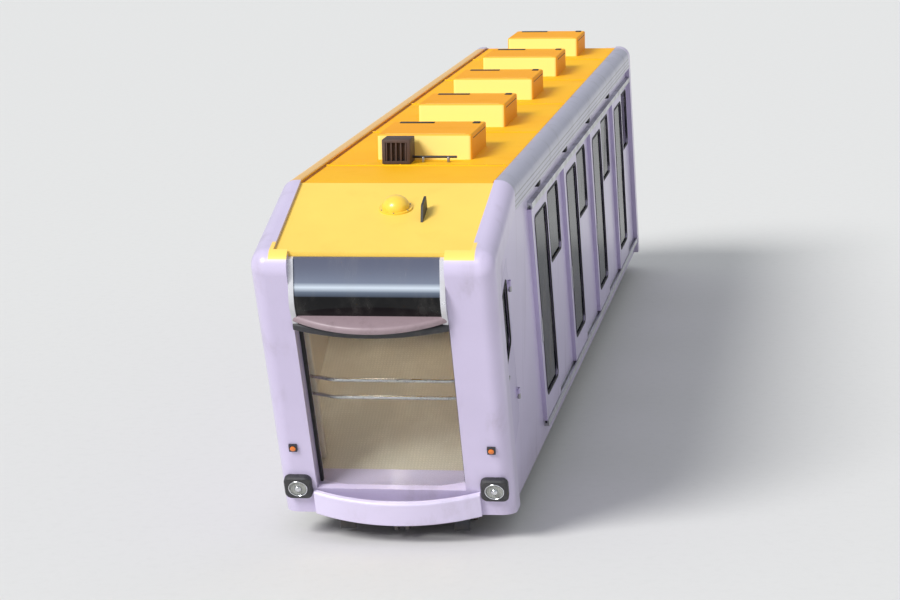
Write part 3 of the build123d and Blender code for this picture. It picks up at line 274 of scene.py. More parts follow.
def weathered(name, colour, grime, dust_top, shine=0.34, lining=None, coat=0.25, streaks=0.24, cap=None, uphill_painted_light=None,
              mirror=0.5):
    """Gloss paint with rain streaks, and dust that fades out at the height dust_top.

    lining is the half width and colour of the inner faces, cap the plumb height and colour of the top,
    and the colour for faces that look up the hill is painted sunlight, a paler tone where the sun falls."""
    paint = Finish(name, Coat_Weight=coat, Coat_Roughness=0.12, Specular_IOR_Level=mirror)
    _, x, y, z = paint.place()
    cloud = paint.noise(0.9, detail=5)
    streak = paint.noise(3.2, (1.0, 1.0, 0.10), SLOPE, 6)
    fine = paint.noise(46, detail=3)
    low = paint.ramp(z + cloud * 0.5, dust_top * 0.35, dust_top, 1.0, 0.0)
    run = paint.ramp(streak, 0.54, 0.74)
    dirt = paint.math("MULTIPLY", run * streaks + low * 0.50, paint.ramp(fine, 0.2, 0.7, 0.6, 1.0), True)
    faded = paint.blend(paint.ramp(cloud, 0.3, 0.7) * 0.55, colour, [min(1, c * 1.13 + 0.01) for c in colour])
    top = paint.blend(dirt, faded, grime)
    if lining:
        inside = paint.ramp(abs(y), lining[0] - 0.002, lining[0] + 0.002, 1.0, 0.0)
        top = paint.blend(inside, top, paint.blend(paint.ramp(fine, 0.3, 0.7) * 0.3, lining[1], grime))
    if cap:
        inboard = paint.ramp(abs(y), CAP_HALF_W - 0.004, CAP_HALF_W + 0.004, 1.0, 0.0)
        over = paint.ramp(plumb_height(x, z), cap[0] - 0.004, cap[0] + 0.004) * inboard
        top = paint.blend(over, top, cap[1])
    # Faces that look up the hill take a paler colour: painted sunlight.
    if uphill_painted_light:
        facing = paint.node("ShaderNodeNewGeometry", output="True Normal")
        uphill = paint.node("ShaderNodeSeparateXYZ", {}, {0: facing}, "X")
        top = paint.blend(paint.ramp(uphill, 0.60, 0.95), top, uphill_painted_light)
    peel = paint.noise(130, detail=2)
    ripple = paint.bump(peel + paint.noise(7) * 0.6, 0.05, 0.004)
    return paint.done(top, dirt * 0.42 + cloud * 0.10 + (shine - 0.07), ripple)


LILAC = rgb(198, 186, 218)
YELLOW = rgb(255, 186, 22)
PALE_YELLOW = rgb(253, 214, 104)
GRIME = rgb(116, 105, 96)
BEIGE = rgb(206, 192, 168)
shell_paint = weathered("shell_lilac", LILAC, GRIME, 0.9, lining=(WALL_IN + 0.004, BEIGE))
PILLAR_TOP = 3.205
pillar_paint = weathered("pillar_lilac", rgb(199, 188, 216), GRIME, 0.5, cap=(PILLAR_TOP, PALE_YELLOW))
roof_paint = weathered("roof_yellow", YELLOW, rgb(226, 146, 20), 0.2, 0.60, coat=0.0, streaks=0.12, mirror=0.12)
# The hoods' pale yellow on their faces up the hill is painted sunlight.
hood_paint = weathered("hood_yellow", rgb(250, 168, 24), rgb(214, 134, 20), 0.2, 0.60, coat=0.0, streaks=0.14,
                       uphill_painted_light=rgb(255, 230, 136), mirror=0.12)
# The forehead's yellow is its own paint, and its tone paler than the roof's is painted sunlight.
fore_paint = weathered("forehead_yellow", rgb(250, 206, 92), rgb(226, 172, 78), 0.2, 0.50, coat=0.0, streaks=0.14,
                       mirror=0.3)
door_paint = weathered("door_lilac", rgb(188, 176, 210), GRIME, 1.0)
bumper_paint = weathered("bumper_lilac", rgb(216, 206, 232), GRIME, 0.4)
case_paint = weathered("case_grey", rgb(86, 88, 94), rgb(112, 100, 84), 1.0, 0.5)
print("paints:", [m.name for m in bpy.data.materials])

# %% [markdown]
# The rounded roof edges are painted in two colours: grey-lilac outside, and on the far side the yellow
# of the roof turned up over the rim. A mask of y and z draws the line between them, and three dark lines
# of painted shade stand for the grooves of the edge.

# %% Roof edge paint
GROOVE_SHADE_LINES = ((0.118, 0.006), (0.170, 0.004), (0.214, 0.007))


def edge_paint():
    """Grey-lilac edge whose -Y rim is yellow, with dark lines of painted shade for its grooves. Each line
    has its drop below the roof and its half width.
    """
    paint = Finish("roof_edge_grey", Coat_Weight=0.3, Coat_Roughness=0.1)
    _, _, y, z = paint.place()
    cloud = paint.noise(1.6, detail=5)
    streak = paint.noise(5, (1.0, 1.0, 0.12), SLOPE, 5)
    grey = paint.blend(paint.ramp(streak, 0.5, 0.75) * 0.5, rgb(168, 166, 188), rgb(120, 116, 124))
    rim = paint.ramp(z, ROOF - 0.060, ROOF - 0.050) * paint.ramp(y, -0.5, -0.6)
    yellow = paint.blend(cloud * 0.5, rgb(255, 196, 70), rgb(246, 176, 48))
    lines = 0
    for drop, half in GROOVE_SHADE_LINES:
        off = abs(z - (ROOF - drop))
        lines = paint.ramp(off, half, half + 0.003, 1.0, 0.0) + lines
    # The dark groove lines are painted shade, with a slight bump.
    with_groove_shade = paint.blend(lines * 0.8, grey, rgb(58, 54, 66))
    ripple = paint.bump(paint.noise(110, detail=2) - lines * 0.6, 0.10, 0.004)
    return paint.done(paint.blend(rim, with_groove_shade, yellow), cloud * 0.16 + 0.26, ripple)


roof_edge_paint = edge_paint()

# %% [markdown]
# ## Glass, clear and tinted
# Each pane lets light through and mirrors more of it at a grazing angle. A Mix Shader between a
# Transparent and a glossy shader does that. Its factor is Layer Weight raised to the fifth power, with
# the glass's own cover and its dust added. It renders without the dark cabin that refraction would give.
# Side panes are tinted, the screens clear. The visor is dark glass with a painted reflection of the sky:
# slate above and a painted highlight band across its belly.

# %% Glass
def pane(name, tint, body, cover, dust=0.14, gloss=0.9):
    """Flat glass: tint is what it lets through, body its own colour, cover how much of that shows."""
    glass = Finish(name, Roughness=0.05, Specular_IOR_Level=gloss * 0.5)
    tilt = glass.node("ShaderNodeLayerWeight", {}, {"Blend": 0.5}, "Facing")
    mirror = glass.math("POWER", tilt, 5.0) * gloss + 0.04
    smear = glass.noise(2.2, (1.0, 1.0, 0.35), SLOPE, 6)
    speck = glass.noise(60, detail=3)
    veil = glass.ramp(smear, 0.52, 0.80) * glass.ramp(speck, 0.35, 0.65, 0.5, 1.0)
    colour = glass.blend(veil * 0.5, body, rgb(186, 178, 166))
    glass.done(colour, veil * 0.4 + 0.05)
    clear = glass.node("ShaderNodeBsdfTransparent", {}, {"Color": (*tint, 1)}, "BSDF")
    factor = glass.math("ADD", mirror + cover, veil * dust, True)
    solid = Signal(glass, glass.shader.outputs["BSDF"])
    mixed = glass.node("ShaderNodeMixShader", {}, {0: factor, 1: clear, 2: solid})
    glass.feed(glass.tree.nodes["Material Output"], {"Surface": mixed})
    return glass.material


side_glass = pane("side_glass", (0.34, 0.38, 0.40), rgb(20, 24, 32), 0.50, 0.08, 0.20)
screen_glass = pane("screen_glass", (0.97, 0.98, 0.98), rgb(140, 146, 152), 0.01, 0.05)
lens_glass = pane("lens_glass", (0.95, 0.96, 0.96), rgb(235, 236, 230), 0.30)

VISOR_FOOT = 2.585
VISOR_H = 0.590


def visor():
    """Dark glass with a painted sky reflection: black foot, slate above, painted highlight band on its belly."""
    glass = Finish("visor_painted_reflection", Specular_IOR_Level=0.25)
    _, x, _, z = glass.place()
    dust = glass.noise(4, (1, 1, 0.3), SLOPE, 5)
    # These stops are painted reflection: black at the foot, slate above it, a painted highlight peak at 0.69.
    stops = [(0.0, rgb(4, 4, 6)), (0.500, rgb(5, 5, 8)), (0.520, rgb(62, 70, 84)), (0.60, rgb(92, 102, 118)),
             (0.690, rgb(196, 206, 218)), (0.77, rgb(112, 120, 138)), (1.0, rgb(88, 92, 110))]
    share = glass.ramp(plumb_height(x, z), VISOR_FOOT, VISOR_FOOT + VISOR_H)
    painted_reflection_bands = glass.node("ShaderNodeValToRGB", {"stops": stops}, {0: share})
    colour = glass.blend(glass.ramp(dust, 0.5, 0.8) * 0.10, painted_reflection_bands, rgb(150, 146, 140))
    return glass.done(colour, glass.ramp(dust, 0.4, 0.8, 0.16, 0.34))


visor_glass = visor()

# %% [markdown]
# ## Metals, rubber and plastic
# Under the floor everything is cast or rolled steel under dark paint, with brake dust and rust in its
# hollows. Treads are polished by the rail, handrails are brushed. One function serves each family, with
# its own colours and grain.

# %% Steel and iron
def steel(name, colour, dust, rust, metallic=0.0, rough=0.5, grain=60, grain_depth=0.25):
    """Painted or bare steel with dust and spots of rust."""
    metal = Finish(name)
    cloud = metal.noise(5, detail=6)
    spots = metal.noise(26, detail=6, roughness=0.7)
    cast = metal.noise(grain, detail=3)
    rusty = metal.ramp(spots * 0.6 + cloud * 0.4, 0.56, 0.68)
    dusty = metal.ramp(cloud, 0.38, 0.66)
    base = metal.blend(dusty * 0.55, colour, dust)
    both = metal.blend(rusty * rust, base, rgb(116, 66, 38))
    bump = metal.bump(cast + spots * 0.5, grain_depth, 0.003)
    return metal.done(both, rusty * 0.25 + dusty * 0.12 + rough, bump, Metallic=(1 - rusty) * metallic)


chassis_steel = steel("chassis_steel", rgb(62, 64, 70), rgb(112, 102, 90), 0.30)
bogie_steel = steel("bogie_steel", rgb(52, 54, 58), rgb(104, 92, 78), 0.45, grain=90, grain_depth=0.45)
brake_iron = steel("brake_iron", rgb(84, 74, 66), rgb(120, 96, 72), 0.75, 0.4, 0.6)
spring_steel = steel("spring_steel", rgb(42, 44, 50), rgb(96, 88, 76), 0.2, rough=0.38)
zinc = steel("zinc_fasteners", rgb(168, 168, 170), rgb(140, 132, 122), 0.12, 0.9, 0.34)
aluminium = steel("brushed_aluminium", rgb(196, 198, 202), rgb(170, 166, 160), 0.0, 0.9, 0.30, 200, 0.12)
# The visor's trims are their own bright metal, made paler and less metallic than the aluminium as a painted
# highlight.
trim_metal = steel("visor_trim_metal", rgb(214, 214, 220), rgb(190, 188, 188), 0.0, 0.35, 0.26, 200, 0.08)


RAIL_Y = 0.530
TREAD_R = 0.310
axle_low, axle_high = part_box("wheelset_upper_a")
AXLE_Z = (axle_low.z + axle_high.z) / 2


def wheel_steel():
    """Bright running faces and dark webs: the distance from the rail's line tells them apart."""
    metal = Finish("wheel_steel")
    _, _, y, z = metal.place()
    cloud = metal.noise(7, detail=6)
    spots = metal.noise(40, detail=5, roughness=0.7)
    turned = metal.node("ShaderNodeTexWave", {"bands_direction": "Y", "wave_profile": "SAW"},
                        {"Scale": 60, "Distortion": 1.5, "Detail": 2})
    off = abs(abs(y) - RAIL_Y)
    bright = metal.ramp(off, 0.030, 0.046, 1.0, 0.0)
    low = metal.ramp(z, AXLE_Z - TREAD_R * 0.99, AXLE_Z - TREAD_R * 0.9, 1.0, 0.55)
    base = metal.blend(metal.ramp(spots, 0.42, 0.62), rgb(92, 84, 78), rgb(120, 78, 52))
    worn = metal.blend(metal.ramp(turned, 0.2, 0.9) * 0.35, rgb(190, 190, 192), rgb(136, 132, 130))
    both = metal.blend(bright * low, base, worn)
    bump = metal.bump(spots + turned * 0.2, 0.2, 0.002)
    return metal.done(both, cloud * 0.2 + (1 - bright) * 0.30 + 0.22, bump, Metallic=bright * 0.6 + 0.4)


running_steel = wheel_steel()

# %% Brushed rails, rubber and moulded plastic
def brushed():
    """Stainless tube, brushed along its length and greasy where hands hold it."""
    metal = Finish("brushed_stainless", Metallic=1.0)
    lines = metal.noise(9, (40, 1.2, 40), 0, 4)
    hands = metal.noise(3.5, detail=4)
    colour = metal.blend(metal.ramp(hands, 0.4, 0.7) * 0.4, rgb(206, 204, 202), rgb(172, 166, 158))
    return metal.done(colour, lines * 0.12 + hands * 0.14 + 0.14, metal.bump(lines, 0.08, 0.001))


def moulded(name, colour, worn, rough=0.5, grain=220, depth=0.25, coat=0.0):
    """Plastic or rubber: a fine even grain, scuffs and a dry bloom."""
    stuff = Finish(name, Coat_Weight=coat, Coat_Roughness=0.2)
    grainy = stuff.noise(grain, detail=2)
    scuff = stuff.noise(8, (1, 1, 1), 0, 6, 0.7)
    bloom = stuff.ramp(scuff, 0.46, 0.72)
    colour = stuff.blend(bloom * 0.5, colour, worn)
    return stuff.done(colour, bloom * 0.18 + grainy * 0.08 + rough, stuff.bump(grainy + scuff * 0.4, depth, 0.002))


def studded():
    """Rubber flooring with round studs every 30 mm and dust between them."""
    rubber = Finish("studded_floor")
    coords = rubber.node("ShaderNodeTexCoord", output="Object")
    level = rubber.node("ShaderNodeMapping", {}, {"Vector": coords, "Rotation": (0, -SLOPE, 0)})
    flat = rubber.node("ShaderNodeMapping", {}, {"Vector": level, "Scale": (1, 1, 0.001)})
    cells = rubber.node("ShaderNodeTexVoronoi", {}, {"Vector": flat, "Scale": 33, "Randomness": 0.0}, "Distance")
    stud = rubber.ramp(cells, 0.26, 0.34, 1.0, 0.0)
    wear = rubber.noise(1.8, detail=6, roughness=0.65)
    trodden = rubber.ramp(wear, 0.4, 0.68)
    base = rubber.blend(trodden * 0.7, rgb(212, 202, 180), rgb(234, 226, 206))
    colour = rubber.blend((1 - stud) * 0.22, base, rgb(150, 140, 124))
    return rubber.done(colour, trodden * 0.15 + 0.55, rubber.bump(stud, 0.35, 0.004))


rail_steel = brushed()
floor_rubber = studded()
black_rubber = moulded("black_rubber", rgb(28, 28, 30), rgb(66, 64, 62), 0.62)
bezel_plastic = moulded("bezel_plastic", rgb(44, 44, 48), rgb(84, 82, 80), 0.45)
lip_plastic = moulded("crescent_mauve", rgb(152, 132, 138), rgb(128, 110, 114), 0.46, coat=0.2)
seat_plastic = moulded("seat_shell", rgb(124, 112, 150), rgb(96, 88, 116), 0.40, 160, 0.18, 0.2)
dome_plastic = moulded("dome_yellow", rgb(250, 206, 70), rgb(236, 176, 50), 0.30, 120, 0.05, 0.5)
amber_plastic = moulded("lamp_amber", rgb(226, 120, 34), rgb(190, 92, 24), 0.22, 90, 0.1, 0.6)
floor.data.materials.append(moulded("studio_grey", rgb(226, 225, 222), rgb(222, 221, 218), 0.85, 2, 0.02))
print("finishes so far:", len(bpy.data.materials))

# %% [markdown]
# ## Paint the frame's nodes
# A carried-over node keeps its mesh and only takes a material. A table of name beginnings keeps that
# short: the first row that matches a node's name gives its finish.

# %% Finishes of the nodes
NODE_FINISHES = {
    "step_floor": floor_rubber, "side_wall": shell_paint, "portal": pillar_paint, "roof_panel": roof_paint,
    "roof_hoods": hood_paint, "forehead": fore_paint, "cornice": roof_edge_paint, "windows": side_glass,
    # The visor's lip takes the dark bezel plastic as painted shade, so that it reads as part of the dark opening.
    "windscreen": screen_glass, "visor_glass": visor_glass, "visor_lip": bezel_plastic, "visor_trims": trim_metal,
    "door_runner": aluminium, "cab_door_hinges": zinc, "bumper": bumper_paint, "roof_grille": bezel_plastic,
    "beacon": dome_plastic, "aerial": bezel_plastic, "headlamp_lens": lens_glass, "headlamps": bezel_plastic,
    "benches": seat_plastic, "handrails": rail_steel, "grab_poles": rail_steel, "chassis": chassis_steel,
    "rail_guards": chassis_steel, "equipment": case_paint, "bogie_frame": bogie_steel,
    "bogie_springs": spring_steel, "track_brakes": brake_iron, "wheelset": running_steel,
}


def finish_of(name):
    """The finish of the first row that matches a node's name."""
    if name.endswith("_leaf"):
        return door_paint
    if name.endswith("_glass") and name.startswith("door"):
        return side_glass
    return next(material for start, material in NODE_FINISHES.items() if name.startswith(start))


for name, node in nodes.items():
    node.data.materials.clear()
    node.data.materials.append(finish_of(name))
print("nodes painted:", len(nodes))

# %% [markdown]
# ## Small pieces, modelled as by hand
# Each small piece starts as a primitive at its own size near the origin, is shaped in edit mode, and is
# then set down in its place. The place is applied to the mesh, because a pattern that reads object
# coordinates would slide on an object that is moved or turned. What repeats is made once and copied.

# %% Modelling helpers
PLUMB = (0, SLOPE, 0)
FLAT_TO_SIDE = (math.pi / 2, 0, 0)
UP_TO_DOOR_SIDE = (-math.pi / 2, 0, 0)


def leave_edit():
    """Goes back to object mode with nothing selected."""
    if bpy.context.mode == "EDIT_MESH":
        bpy.ops.object.mode_set(mode="OBJECT")
    bpy.ops.object.select_all(action="DESELECT")


def begin(kind, name, finish, **place):
    """Adds a primitive with nothing else selected and gives it a name and a finish."""
    leave_edit()
    getattr(bpy.ops.mesh, f"primitive_{kind}_add")(**place)
    piece = bpy.context.active_object
    piece.name = name
    piece.data.materials.append(finish)
    return piece


def pick(piece, kind, test=lambda point: True):
    """Goes into edit mode with those parts selected whose middle passes the test, or with all of them."""
    bpy.ops.object.mode_set(mode="EDIT")
    bpy.ops.mesh.select_mode(type=kind)
    bpy.ops.mesh.select_all(action="DESELECT")
    bpy.ops.object.mode_set(mode="OBJECT")
    mesh = piece.data
    for vertex in mesh.vertices if kind == "VERT" else []:
        vertex.select = test(vertex.co)
    for edge in mesh.edges if kind == "EDGE" else []:
        edge.select = test((mesh.vertices[edge.vertices[0]].co + mesh.vertices[edge.vertices[1]].co) / 2)
    for face in mesh.polygons if kind == "FACE" else []:
        face.select = test(face.center)
    bpy.ops.object.mode_set(mode="EDIT")


def face_outward(piece):
    """Turns all faces of a closed piece outward, and stays in edit mode."""
    pick(piece, "FACE")
    bpy.ops.mesh.normals_make_consistent(inside=False)


def only(piece):
    """Leaves edit mode with this piece selected and active, and nothing else."""
    leave_edit()
    piece.select_set(True)
    bpy.context.view_layer.objects.active = piece


def settle(piece, where=(0, 0, 0), turn=(0, 0, 0)):
    """Sets a shaped piece down and applies its place and turn to the mesh."""
    only(piece)
    piece.location = where
    piece.rotation_euler = turn
    bpy.ops.object.transform_apply(location=True, rotation=True, scale=True)
    bpy.ops.object.shade_smooth_by_angle(angle=math.radians(35))
    return piece


def harden(piece, kind, **settings):
    """Adds one modifier and applies it."""
    only(piece)
    modifier = piece.modifiers.new(kind.lower(), kind)
    for key, value in settings.items():
        setattr(modifier, key, value)
    bpy.ops.object.modifier_apply(modifier=modifier.name)
    return piece


def twin_of(piece):
    """A copy of one piece with its own mesh, selected and active."""
    only(piece)
    bpy.ops.object.duplicate(linked=False)
    return bpy.context.active_object


def copy_to(piece, shifts):
    """Copies a settled piece by each shift, and lists the piece with its copies."""
    copies = [piece]
    for shift in shifts:
        copies.append(twin_of(piece))
        bpy.ops.transform.translate(value=shift)
        bpy.ops.object.transform_apply(location=True, rotation=False, scale=False)
    return copies


def gather(copies):
    """Joins pieces of one kind into the first of them."""
    only(copies[0])
    for piece in copies:
        piece.select_set(True)
    bpy.ops.object.join()
    return copies[0]


def mirrored(piece):
    """Joins a settled piece to its mirror image across the car's middle."""
    twin = twin_of(piece)
    twin.scale.y = -1
    bpy.ops.object.transform_apply(location=False, rotation=False, scale=True)
    face_outward(twin)
    return gather([piece, twin])


def bar(name, finish, size, edge=0.004):
    """Bar of a given size with rounded edges."""
    piece = begin("cube", name, finish, size=1)
    pick(piece, "EDGE")
    bpy.ops.transform.resize(value=size)
    bpy.ops.mesh.bevel(offset=edge, segments=2, affect="EDGES")
    return piece


def disc(name, finish, radius, depth, edge=0.003, sides=32):
    """Round bar or plate that stands on z = 0, its upper rim rounded."""
    piece = begin("cylinder", name, finish, vertices=sides, radius=radius, depth=depth)
    pick(piece, "FACE", lambda middle: middle.z > depth * 0.49)
    bpy.ops.mesh.inset(thickness=edge)
    bpy.ops.transform.translate(value=(0, 0, edge * 0.6))
    pick(piece, "VERT")
    bpy.ops.transform.translate(value=(0, 0, depth / 2))
    return piece


def half_ball(name, finish, radius, segments, ring_count, closed=True):
    """Upper half of a sphere, cut off at its middle."""
    ball = begin("uv_sphere", name, finish, segments=segments, ring_count=ring_count, radius=radius)
    pick(ball, "FACE")
    bpy.ops.mesh.bisect(plane_co=(0, 0, 0), plane_no=(0, 0, 1), use_fill=closed, clear_inner=True)
    return ball


def wire_section(name, finish, radius, thick):
    """Round section of a wire beside the z axis, ready to be swept about it."""
    section = begin("circle", name, finish, vertices=10, radius=thick, rotation=FLAT_TO_SIDE)
    pick(section, "VERT")
    bpy.ops.transform.translate(value=(radius, 0, 0))
    only(section)
    bpy.ops.object.transform_apply(location=True, rotation=True, scale=True)
    return section


def mount(piece, body, slot, *stands_for):
    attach(piece, body)
    if stands_for:
        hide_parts(*stands_for)
    return piece


HULL = body_of(nodes["step_floor"])[0]
print("fixed body:", HULL)

# %% [markdown]
# ## Rubber round the panes
# Each pane sits in a rubber section that laps the wall and the glass. A plane takes the outline of the
# window: its upper corners move up the hill until its ends are plumb, a vertex bevel rounds them, and an
# inset leaves a ring once the middle is deleted. Solidify and Bevel modifiers turn the ring into rubber.

# %% Window rubbers
LAP = 0.012
RUBBER_W = 0.030


def rubber_loop(name, width, height, lean, radius, thick):
    """Closed rubber ring round a parallelogram, lying in the xz plane."""
    piece = begin("plane", name, black_rubber, size=1)
    pick(piece, "VERT")
    bpy.ops.transform.resize(value=(width + 2 * LAP, height + 2 * LAP, 1))
    for side in (-1, 1):
        pick(piece, "VERT", lambda corner: corner.y * side > 0)
        bpy.ops.transform.translate(value=(side * lean / 2, 0, 0))
    pick(piece, "VERT")
    bpy.ops.mesh.bevel(offset=radius, segments=5, affect="VERTICES")
    pick(piece, "FACE")
    bpy.ops.mesh.inset(thickness=RUBBER_W)
    bpy.ops.mesh.delete(type="FACE")
    harden(piece, "SOLIDIFY", thickness=thick, offset=0)
    harden(piece, "BEVEL", width=0.0025, segments=2, limit_method="ANGLE")
    return piece


def slope_loop(name, h0, h1, z0, z1, y, thick):
    """Rubber ring of a window whose top runs along the rails and whose ends are plumb."""
    height = z1 - z0
    middle_z = (z0 + z1) / 2 + FLANGE
    middle_x = (x_at(h0, middle_z) + x_at(h1, middle_z)) / 2
    loop = rubber_loop(name, (h1 - h0) / COS, height, height * SIN / COS, 0.10, thick)
    return settle(loop, (middle_x, y, middle_z), FLAT_TO_SIDE)


def along_rails(count):
    """Shifts of one module each, parallel to the rails."""
    return [Vector((-(k + 1) * MODULE / COS, 0, 0)) for k in range(count)]


LAST_H = LOW_END + PILLAR_W + 0.110
SMALL_INSET = 1.480
SMALL_W = 0.900
RIGHT_RUBBER = (1.0035, 0.008)
LEFT_RUBBER = (-1.007, 0.014)


def small_right(name, step_h):
    """Rubber of the small window beside a door, below the step at step_h."""
    high = step_h - SMALL_INSET
    return slope_loop(name, max(high - SMALL_W, LAST_H), high, 1.930, 2.700, *RIGHT_RUBBER)


right_loops = copy_to(small_right("window_rubbers_right", FLOORS[1][0]), along_rails(2))
right_loops.append(small_right("window_rubber_low", FLOORS[4][0]))
mount(gather(right_loops), HULL, "bezel")

# Step, inset from its edge, width, foot, top, and how many more follow down the rails
LEFT_WINDOWS = [(0, 0.600, 0.700, 1.080, 2.300, 0), (0, 1.480, 0.940, 1.900, 2.760, 0),
                (1, 0.190, 1.040, 1.300, 2.760, 3), (1, 1.400, 1.020, 1.900, 2.760, 2),
                (4, 1.400, 1.020, 1.900, 2.760, 0)]
left_loops = []
for step, inset, width, foot_z, top_z, more in LEFT_WINDOWS:
    high = FLOORS[step][0] - inset
    loop = slope_loop("window_rubber", max(high - width, LAST_H), high, foot_z, top_z, *LEFT_RUBBER)
    left_loops += copy_to(loop, along_rails(more))
left_loops[0].name = "window_rubbers_left"
mount(gather(left_loops), HULL, "bezel")
print("window rubbers:", len(left_loops) + len(right_loops))

# %% [markdown]
# ## Doors
# A sliding leaf of such a car has a rubber round its pane, a rubber nosing on its closing edge and a
# flush pull. They ride on the leaf's own body, so that they slide with it. They stay within the few
# millimetres between the leaf and the runners' outer face.

# %% Door rubbers, nosings and pulls
DOOR_INSET = 0.100
DOOR_W = 1.050
LEAF_LAP = 0.045
LEAF_FOOT = 0.476
LEAF_TOP = 2.790
PANE_INSET = 0.110
PULL_Z = 1.500
leaf_z = (LEAF_FOOT + LEAF_TOP) / 2 + FLANGE
for number in range(2, 6):
    high = FLOORS[number - 1][0] - DOOR_INSET
    h0, h1 = high - DOOR_W - LEAF_LAP, high + LEAF_LAP
    body = body_of(nodes[f"door_{number}_leaf"])[0]
    loop = slope_loop(f"door_{number}_rubber", h0 + PANE_INSET, h1 - PANE_INSET, 0.726, 2.680, 1.0435, 0.008)
    mount(loop, body, "bezel")
    nosing = bar(f"door_{number}_nosing", black_rubber, (0.010, 0.026, (LEAF_TOP - LEAF_FOOT) / COS), 0.004)
    mount(settle(nosing, (x_at(h0, leaf_z) - 0.006, 1.027, leaf_z), PLUMB), body, "bezel")
    pull = bar(f"door_{number}_pull", aluminium, (0.034, 0.008, 0.300), 0.0035)
    pick(pull, "FACE", lambda middle: middle.y > 0.0039)
    bpy.ops.mesh.inset(thickness=0.006)
    bpy.ops.transform.translate(value=(0, -0.003, 0))
    mount(settle(pull, (x_at(h1 - 0.055, PULL_Z), 1.046, PULL_Z), PLUMB), body, "stainless")

# %% The hinged door's rubber and handle
cab_body = body_of(nodes["door_1_leaf"])[0]
CAB_SETBACK = 0.400
CAB_W = 0.700
HANDLE_V = FLOOR + 0.930
cab_h0 = FACE - CAB_SETBACK - CAB_W
cab_rubber = rubber_loop("door_1_rubber", 0.440, 0.720, 0, 0.07, 0.010)
settle(cab_rubber, (0, 0, 0), FLAT_TO_SIDE)
mount(settle(cab_rubber, spot(cab_h0 + CAB_W / 2, FLOOR + 1.360, 1.006), PLUMB), cab_body, "bezel")
rose = disc("door_1_rose", zinc, 0.030, 0.008)
settle(rose, spot(cab_h0 + 0.640, HANDLE_V, 1.005), UP_TO_DOOR_SIDE)
lever = bar("door_1_handle", zinc, (0.120, 0.014, 0.022), 0.006)
settle(lever, spot(cab_h0 + 0.600, HANDLE_V, 1.030), PLUMB)
stem = disc("door_1_stem", zinc, 0.009, 0.022)
settle(stem, spot(cab_h0 + 0.640, HANDLE_V, 1.008), UP_TO_DOOR_SIDE)
mount(gather([lever, rose, stem]), cab_body, "steel")
print("door fittings done")

# %% [markdown]
# ## Roof
# The roof is sheet metal over cross ribs. Each module's joint has a raised batten with a row of rivets,
# and a dark orange strip in the groove inside each rim is painted shade. Each hood has a rubber seam under
# its lid, a latch and a slatted vent. All of it is made on the first module and copied down the roof.

# %% Battens, rivets and painted groove shade
# Dark orange for the strips in the rims' grooves: painted shade, with dust and rust.
roof_groove_shade = steel("roof_groove_shade", rgb(176, 98, 22), rgb(120, 72, 30), 0.1, rough=0.6)
HOOD_L = 1.100
HOOD_W = 0.920
HOOD_TOP = ROOF + 0.240
HOOD_END_GAP = 0.097
hood_pitch = (HOOD_FRONT - HOOD_L - HOOD_END_GAP - x_at(LOW_END, ROOF)) / (MODULES - 1)
down_roof = [Vector((-(k + 1) * hood_pitch, 0, 0)) for k in range(MODULES - 1)]
batten_x = HOOD_FRONT + 0.440
batten = settle(bar("roof_battens", roof_paint, (0.060, 1.740, 0.010), 0.003), (batten_x, 0, ROOF + 0.003))
mount(gather(copy_to(batten, down_roof)), HULL, "roof_paint")
RIVET_PITCH = 0.164
rivet = settle(half_ball("roof_rivets", roof_paint, 0.008, 8, 6), (batten_x, -5 * RIVET_PITCH, ROOF + 0.0078))
row = gather(copy_to(rivet, [Vector((0, RIVET_PITCH * k, 0)) for k in range(1, 11)]))
mount(gather(copy_to(row, down_roof)), HULL, "roof_paint")
roof_low, roof_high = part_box("roof_panel")
groove_shade_l = roof_high.x - roof_low.x - 0.060
# A strip of painted shade along the groove inside each rim.
groove_shade_strip = settle(bar("roof_groove_shade_strip", roof_groove_shade, (groove_shade_l, 0.016, 0.008), 0.003),
              ((roof_low.x + roof_high.x) / 2, 0.868, ROOF + 0.002))
mount(mirrored(groove_shade_strip), HULL, "roof_paint")

# %% Hood lids and latches
lid_seam = settle(bar("hood_seams", black_rubber, (0.900, 0.008, 0.008), 0.002),
                  (HOOD_FRONT - 0.560, HOOD_W / 2 - 0.002, HOOD_TOP - 0.044))
mount(gather(copy_to(mirrored(lid_seam), down_roof)), HULL, "bezel")
fitting_x = HOOD_FRONT - HOOD_L + 0.120
latch = settle(bar("hood_latches", black_rubber, (0.110, 0.070, 0.018), 0.005),
               (fitting_x, HOOD_W / 2 - 0.080, HOOD_TOP + 0.0005))
mount(gather(copy_to(latch, down_roof)), HULL, "bezel")

# %% Hood vents
vent = bar("hood_vents", black_rubber, (0.085, 0.340, 0.008), 0.002)
pick(vent, "FACE", lambda middle: middle.z > 0.0039)
bpy.ops.mesh.inset(thickness=0.012)
bpy.ops.transform.translate(value=(0, 0, -0.004))
vent_y = 0.250 - HOOD_W / 2
vent = [settle(vent, (fitting_x, vent_y, HOOD_TOP + 0.0035))]
slats = [settle(bar("hood_vent_slats", bezel_plastic, (0.008, 0.316, 0.005), 0.001),
                (fitting_x + shift, vent_y, HOOD_TOP + 0.0040)) for shift in (-0.020, 0, 0.020)]
mount(gather(copy_to(gather(vent + slats), down_roof)), HULL, "bezel")

# %% [markdown]
# ## Finned box on the roof
# The box beside the first hood is a cooler: a dark housing with deep fins across its back and front. The
# housing is a bevelled bar whose two ends are inset and pushed in, and five fins stand in the recesses.

